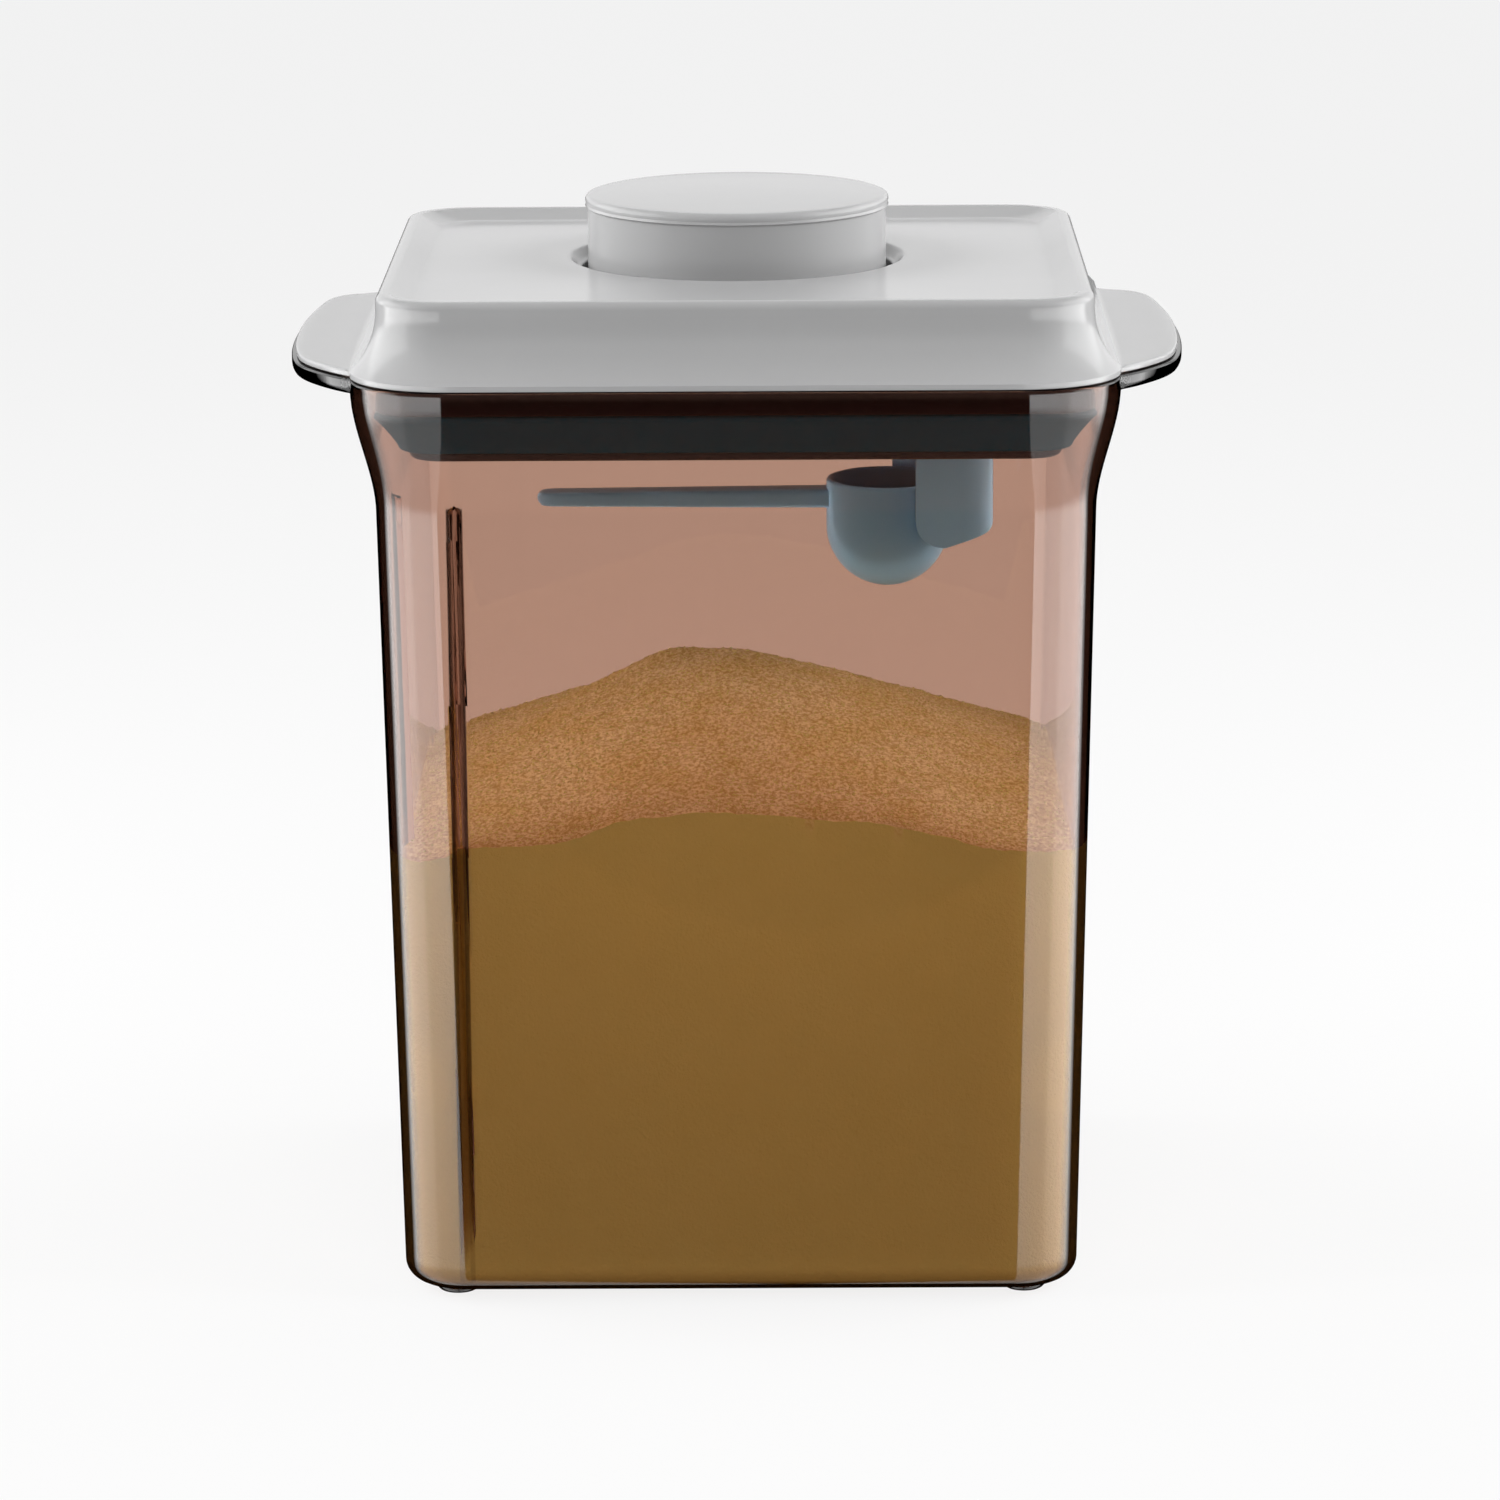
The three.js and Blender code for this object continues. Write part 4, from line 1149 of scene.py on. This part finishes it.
class CONTAINER_OT_powder(bpy.types.Operator):
    """Builds the heap of milk powder and the loose grains on it"""

    bl_idname = "container.powder"
    bl_label = "Milk powder"

    def execute(self, context):
        scene = context.scene
        powder = scene.container_powder
        jar_form = JarForm(scene.container_jar)
        heap = HeapForm(powder)
        wall = scene.container_jar.wall
        reach = 0.12 * MM
        around = places_round([i / 16 for i in range(17)], [i / 84 for i in range(85)])
        floor = scene.container_jar.floor
        fillet = scene.container_jar.floor_fillet

        def wall_point(at, z):
            half = jar_form.half_width(z) - wall + reach
            point, out = plan_point(at, half, half - PLAN_DIFFERENCE, jar_form.corner(z) - wall + reach)
            rise = jar_form.rib_rise(point.x, point.y, z, out)
            return point - out * rise

        edge_z = [heap.height(*wall_point(at, 90 * MM)) for at in around]
        top_rings = []
        steps = 118
        for k in range(steps, 0, -1):
            share = k / steps
            ring = []
            for at, z_edge in zip(around, edge_z):
                point = wall_point(at, z_edge) * share
                lift = heap.height(point.x, point.y) + heap.relief(point.x, point.y)
                ring.append((point.x, point.y, lift))
            top_rings.append(ring)
        side_rings = []
        for inset, z in arc(fillet, floor + fillet - reach, fillet, 270, 180, 6):
            half = jar_form.half_width(z) - wall + reach - inset
            radius = jar_form.corner(z) - wall + reach - inset
            side_rings.append(usual_ring(half, radius, z, around))
        for i in range(1, 9):
            share = i / 9
            ring = []
            for at, rim in zip(around, top_rings[0]):
                z = between(floor + fillet, rim[2], share)
                point = wall_point(at, z)
                ring.append((point.x, point.y, z))
            side_rings.append(ring)
        body = place("powder_heap", skin("powder_heap", side_rings + top_rings), sharp=math.radians(60))
        material = milk_powder_material("milk_powder_fine", powder.colour)
        dress(body, material, "powder", "container", "milk_powder")

        bed = place("grain_bed", self.surface("grain_bed", top_rings[2:]))
        grains = self.scatter(bed, powder, material)
        dress(grains, material, "powder", "container", "milk_powder")
        return {"FINISHED"}

    @staticmethod
    def surface(name, rings):
        """The open top of the heap alone, for the grains to lie on."""
        count = len(rings[0])
        verts = [point for ring in rings for point in ring]
        faces = []
        for band in range(len(rings) - 1):
            low, high = band * count, (band + 1) * count
            for i in range(count):
                j = (i + 1) % count
                faces.append((low + i, low + j, high + j, high + i))
        mesh = bpy.data.meshes.new(name)
        mesh.from_pydata(verts, [], faces)
        return mesh

    @staticmethod
    def scatter(bed, powder, material):
        """Scatters loose grains over the heap with a Geometry Nodes tree, and makes them a plain mesh."""
        tree = bpy.data.node_groups.new("loose_grains", "GeometryNodeTree")
        face = tree.interface
        face.new_socket("Geometry", in_out="INPUT", socket_type="NodeSocketGeometry")
        inputs = {
            label: face.new_socket(label, in_out="INPUT", socket_type=kind).identifier
            for label, kind in (
                ("Density", "NodeSocketFloat"),
                ("Grain Radius", "NodeSocketFloat"),
                ("Seed", "NodeSocketInt"),
                ("Finish", "NodeSocketMaterial"),
            )
        }
        face.new_socket("Geometry", in_out="OUTPUT", socket_type="NodeSocketGeometry")

        def add(kind, settings=None, **values):
            made = tree.nodes.new(kind)
            for key, value in (settings or {}).items():
                setattr(made, key, value)
            for key, value in values.items():
                socket = made.inputs[key.replace("_", " ")]
                if isinstance(value, bpy.types.NodeSocket):
                    tree.links.new(value, socket)
                else:
                    socket.default_value = value
            return made

        given = tree.nodes.new("NodeGroupInput").outputs
        spread = add(
            "GeometryNodeDistributePointsOnFaces",
            {"distribute_method": "RANDOM"},
            Mesh=given["Geometry"],
            Density=given["Density"],
            Seed=given["Seed"],
        )
        ball = add("GeometryNodeMeshIcoSphere", None, Radius=given["Grain Radius"], Subdivisions=1)
        turn = add("FunctionNodeRandomValue", {"data_type": "FLOAT_VECTOR"}, Seed=given["Seed"])
        turn.inputs[0].default_value = (0, 0, 0)
        turn.inputs[1].default_value = (2 * HALF_TURN,) * 3
        size = add("FunctionNodeRandomValue", {"data_type": "FLOAT_VECTOR"}, Seed=given["Seed"])
        size.inputs[0].default_value = (0.45, 0.45, 0.4)
        size.inputs[1].default_value = (1.25, 1.25, 0.9)
        laid = add(
            "GeometryNodeInstanceOnPoints",
            None,
            Points=spread.outputs["Points"],
            Instance=ball.outputs["Mesh"],
            Rotation=turn.outputs[0],
            Scale=size.outputs[0],
        )
        real = add("GeometryNodeRealizeInstances", None, Geometry=laid.outputs["Instances"])
        finished = add("GeometryNodeSetMaterial", None, Geometry=real.outputs[0], Material=given["Finish"])
        tree.links.new(finished.outputs[0], tree.nodes.new("NodeGroupOutput").inputs[0])

        modifier = bed.modifiers.new("loose_grains", "NODES")
        modifier.node_group = tree
        modifier[inputs["Density"]] = powder.grain_density
        modifier[inputs["Grain Radius"]] = powder.grain_size
        modifier[inputs["Seed"]] = powder.seed
        modifier[inputs["Finish"]] = material
        bpy.context.view_layer.update()
        evaluated = bed.evaluated_get(bpy.context.evaluated_depsgraph_get())
        mesh = bpy.data.meshes.new_from_object(evaluated)
        bpy.data.objects.remove(bed)
        mesh.name = "powder_grains"
        return place("powder_grains", mesh, sharp=HALF_TURN)


# The stage


def studio_world():
    """Soft white surroundings. Their lower half, which the floor hides from all but reflections, has two tall
    bright screens beside a narrow dark gap in front."""
    sheet = Sheet(bpy.data.worlds.new("studio"))
    x, y, z = sheet.split(sheet.node("ShaderNodeTexCoord", out="Generated"))
    from_front = abs(sheet.node("ShaderNodeMath", {"operation": "ARCTAN2"}, {0: x, 1: y * -1.0})) * (1 / HALF_TURN)
    over = sheet.node(
        "ShaderNodeValToRGB",
        {"stops": [(0.33, (0.01,) * 3), (0.37, (0.83,) * 3), (0.73, (0.83,) * 3), (0.77, (0.31,) * 3)]},
        {0: from_front},
    )
    over = sheet.scaled(sheet.blend(z.step(0.55, 0.65), over, (0.01, 0.01, 0.01, 1)), 3.0)
    under = sheet.node(
        "ShaderNodeValToRGB",
        {"stops": [(0.026, (0.0,) * 3), (0.030, (0.73,) * 3), (0.28, (0.73,) * 3), (0.32, (0.98,) * 3), (0.60, (0.98,) * 3), (0.66, (0.0,) * 3)]},
        {0: from_front},
    )
    under = sheet.scaled(sheet.blend(z.step(-0.26, -0.42) * 0.65, under, (0, 0, 0, 1)), 6.0)
    round_about = sheet.blend(z.step(-0.06, 0.04), under, over)
    seen = sheet.blend(sheet.node("ShaderNodeLightPath", out="Is Camera Ray"), round_about, (0.95, 0.95, 0.95, 1))
    return sheet.finish(sheet.node("ShaderNodeBackground", None, {"Color": seen, "Strength": 1.0}))


def area_light(name, location, target, size, energy, spread=HALF_TURN):
    """A lamp that only lights: it shows in no reflection. A small spread is a grid over it, for a narrow beam."""
    data = bpy.data.lights.new(name, "AREA")
    data.spread = spread
    data.shape = "RECTANGLE"
    data.size, data.size_y = size
    data.energy = energy
    made = bpy.data.objects.new(name, data)
    bpy.context.scene.collection.objects.link(made)
    made.location = location
    made.rotation_euler = (Vector(target) - Vector(location)).to_track_quat("-Z", "Y").to_euler()
    made.visible_camera = False
    made.visible_glossy = False
    made.visible_transmission = False
    return made


class CONTAINER_OT_stage(bpy.types.Operator):
    """Builds the camera, the pale floor and the soft studio light"""

    bl_idname = "container.stage"
    bl_label = "Stage"

    def execute(self, context):
        stage = context.scene.container_stage
        data = bpy.data.cameras.new("camera")
        data.lens = stage.lens
        data.sensor_width = 36.0
        data.clip_start = 0.05
        camera = bpy.data.objects.new("camera", data)
        context.scene.collection.objects.link(camera)
        camera.location = (10.25 * MM, -1189.93 * MM, 378.73 * MM)
        look = Vector((-0.00674, 0.97287, -0.23124))
        roll = Quaternion((0, 0, 1), math.radians(-0.3545))
        camera.rotation_mode = "QUATERNION"
        camera.rotation_quaternion = look.to_track_quat("-Z", "Y") @ roll
        context.scene.camera = camera

        half = stage.floor_size / 2
        mesh = bpy.data.meshes.new("floor")
        mesh.from_pydata([(-half, -half, 0), (half, -half, 0), (half, half, 0), (-half, half, 0)], [], [(0, 1, 2, 3)])
        floor = bpy.data.objects.new("floor", mesh)
        context.scene.collection.objects.link(floor)
        sheet = Sheet(bpy.data.materials.new("floor_white"))
        bounces = [sheet.node("ShaderNodeLightPath", out=kind) for kind in ("Glossy Depth", "Diffuse Depth")]
        away = sheet.split(sheet.object_coordinates())[1].step(-0.38, -0.6) * bounces[0].most(bounces[1]).step(0.0, 1.0)
        paint = sheet.node(
            "ShaderNodeBsdfPrincipled",
            None,
            {
                "Base Color": rgba(stage.floor_colour),
                "Roughness": 0.9,
                "Specular IOR Level": 0.0,
                "Emission Color": sheet.blend(away, (1, 1, 1, 1), (0.05, 0.05, 0.05, 1)),
                "Emission Strength": stage.floor_glow,
            },
        )
        mesh.materials.append(sheet.finish(paint))
        floor.visible_glossy = False

        context.scene.world = studio_world()
        context.scene.view_settings.view_transform = "Standard"
        area_light("front_light", (0.0, -1.0, 0.95), (0, 0, 0.1), (0.9, 0.5), 6.4)
        area_light("back_light", (0.0, 0.8, 0.55), (0, 0, 0.12), (0.9, 0.5), 1.0)
        area_light("low_front_light", (0.0, -0.9, 0.1), (0, 0, 0.08), (0.7, 0.2), 0.6)
        area_light("scoop_light", (0.012, -0.6, 0.135), (0.012, 0, 0.146), (0.1, 0.01), 0.052, math.radians(4))
        for side in (-1, 1):
            area_light("side_light", (side * 0.6, 0.0, 0.55), (0, 0, 0.12), (0.5, 0.4), 3.6)
            area_light("low_side_light", (side * 0.42, 0.18, 0.24), (0, 0.05, 0.12), (0.5, 0.34), 0.8)
            area_light("heap_light", (side * 0.4, -0.28, 0.27), (0, -0.02, 0.1), (0.1, 0.05), 0.015, math.radians(16))
            corner_aim = (side * 0.062, -0.055, 0.045)
            area_light("corner_light", (side * 0.55, -0.18, 0.12), corner_aim, (0.04, 0.1), 0.013, math.radians(14))
        return {"FINISHED"}


# Add-on

STEPS = (
    CONTAINER_OT_stage,
    CONTAINER_OT_jar,
    CONTAINER_OT_lid,
    CONTAINER_OT_button,
    CONTAINER_OT_plug,
    CONTAINER_OT_seal,
    CONTAINER_OT_scoop,
    CONTAINER_OT_clip,
    CONTAINER_OT_powder,
)

SETTINGS = {
    "container_jar": JarSettings,
    "container_lid": LidSettings,
    "container_seal": SealSettings,
    "container_scoop": ScoopSettings,
    "container_powder": PowderSettings,
    "container_stage": StageSettings,
}


class CONTAINER_PT_panel(bpy.types.Panel):
    """Lists the container's steps"""

    bl_idname = "CONTAINER_PT_panel"
    bl_label = "Milk Powder Container"
    bl_space_type = "VIEW_3D"
    bl_region_type = "UI"
    bl_category = "Container"

    def draw(self, context):
        for step in STEPS:
            self.layout.operator(step.bl_idname)


def register():
    for group in SETTINGS.values():
        bpy.utils.register_class(group)
    for step in STEPS:
        bpy.utils.register_class(step)
    bpy.utils.register_class(CONTAINER_PT_panel)
    for name, group in SETTINGS.items():
        setattr(bpy.types.Scene, name, PointerProperty(type=group))


def unregister():
    for name in SETTINGS:
        delattr(bpy.types.Scene, name)
    bpy.utils.unregister_class(CONTAINER_PT_panel)
    for step in reversed(STEPS):
        bpy.utils.unregister_class(step)
    for group in reversed(SETTINGS.values()):
        bpy.utils.unregister_class(group)


def main():
    register()
    bpy.ops.container.stage()
    bpy.ops.container.jar()
    bpy.ops.container.lid()
    bpy.ops.container.button()
    bpy.ops.container.plug()
    bpy.ops.container.seal()
    bpy.ops.container.scoop()
    bpy.ops.container.clip()
    bpy.ops.container.powder()


if __name__ == "__main__":
    main()
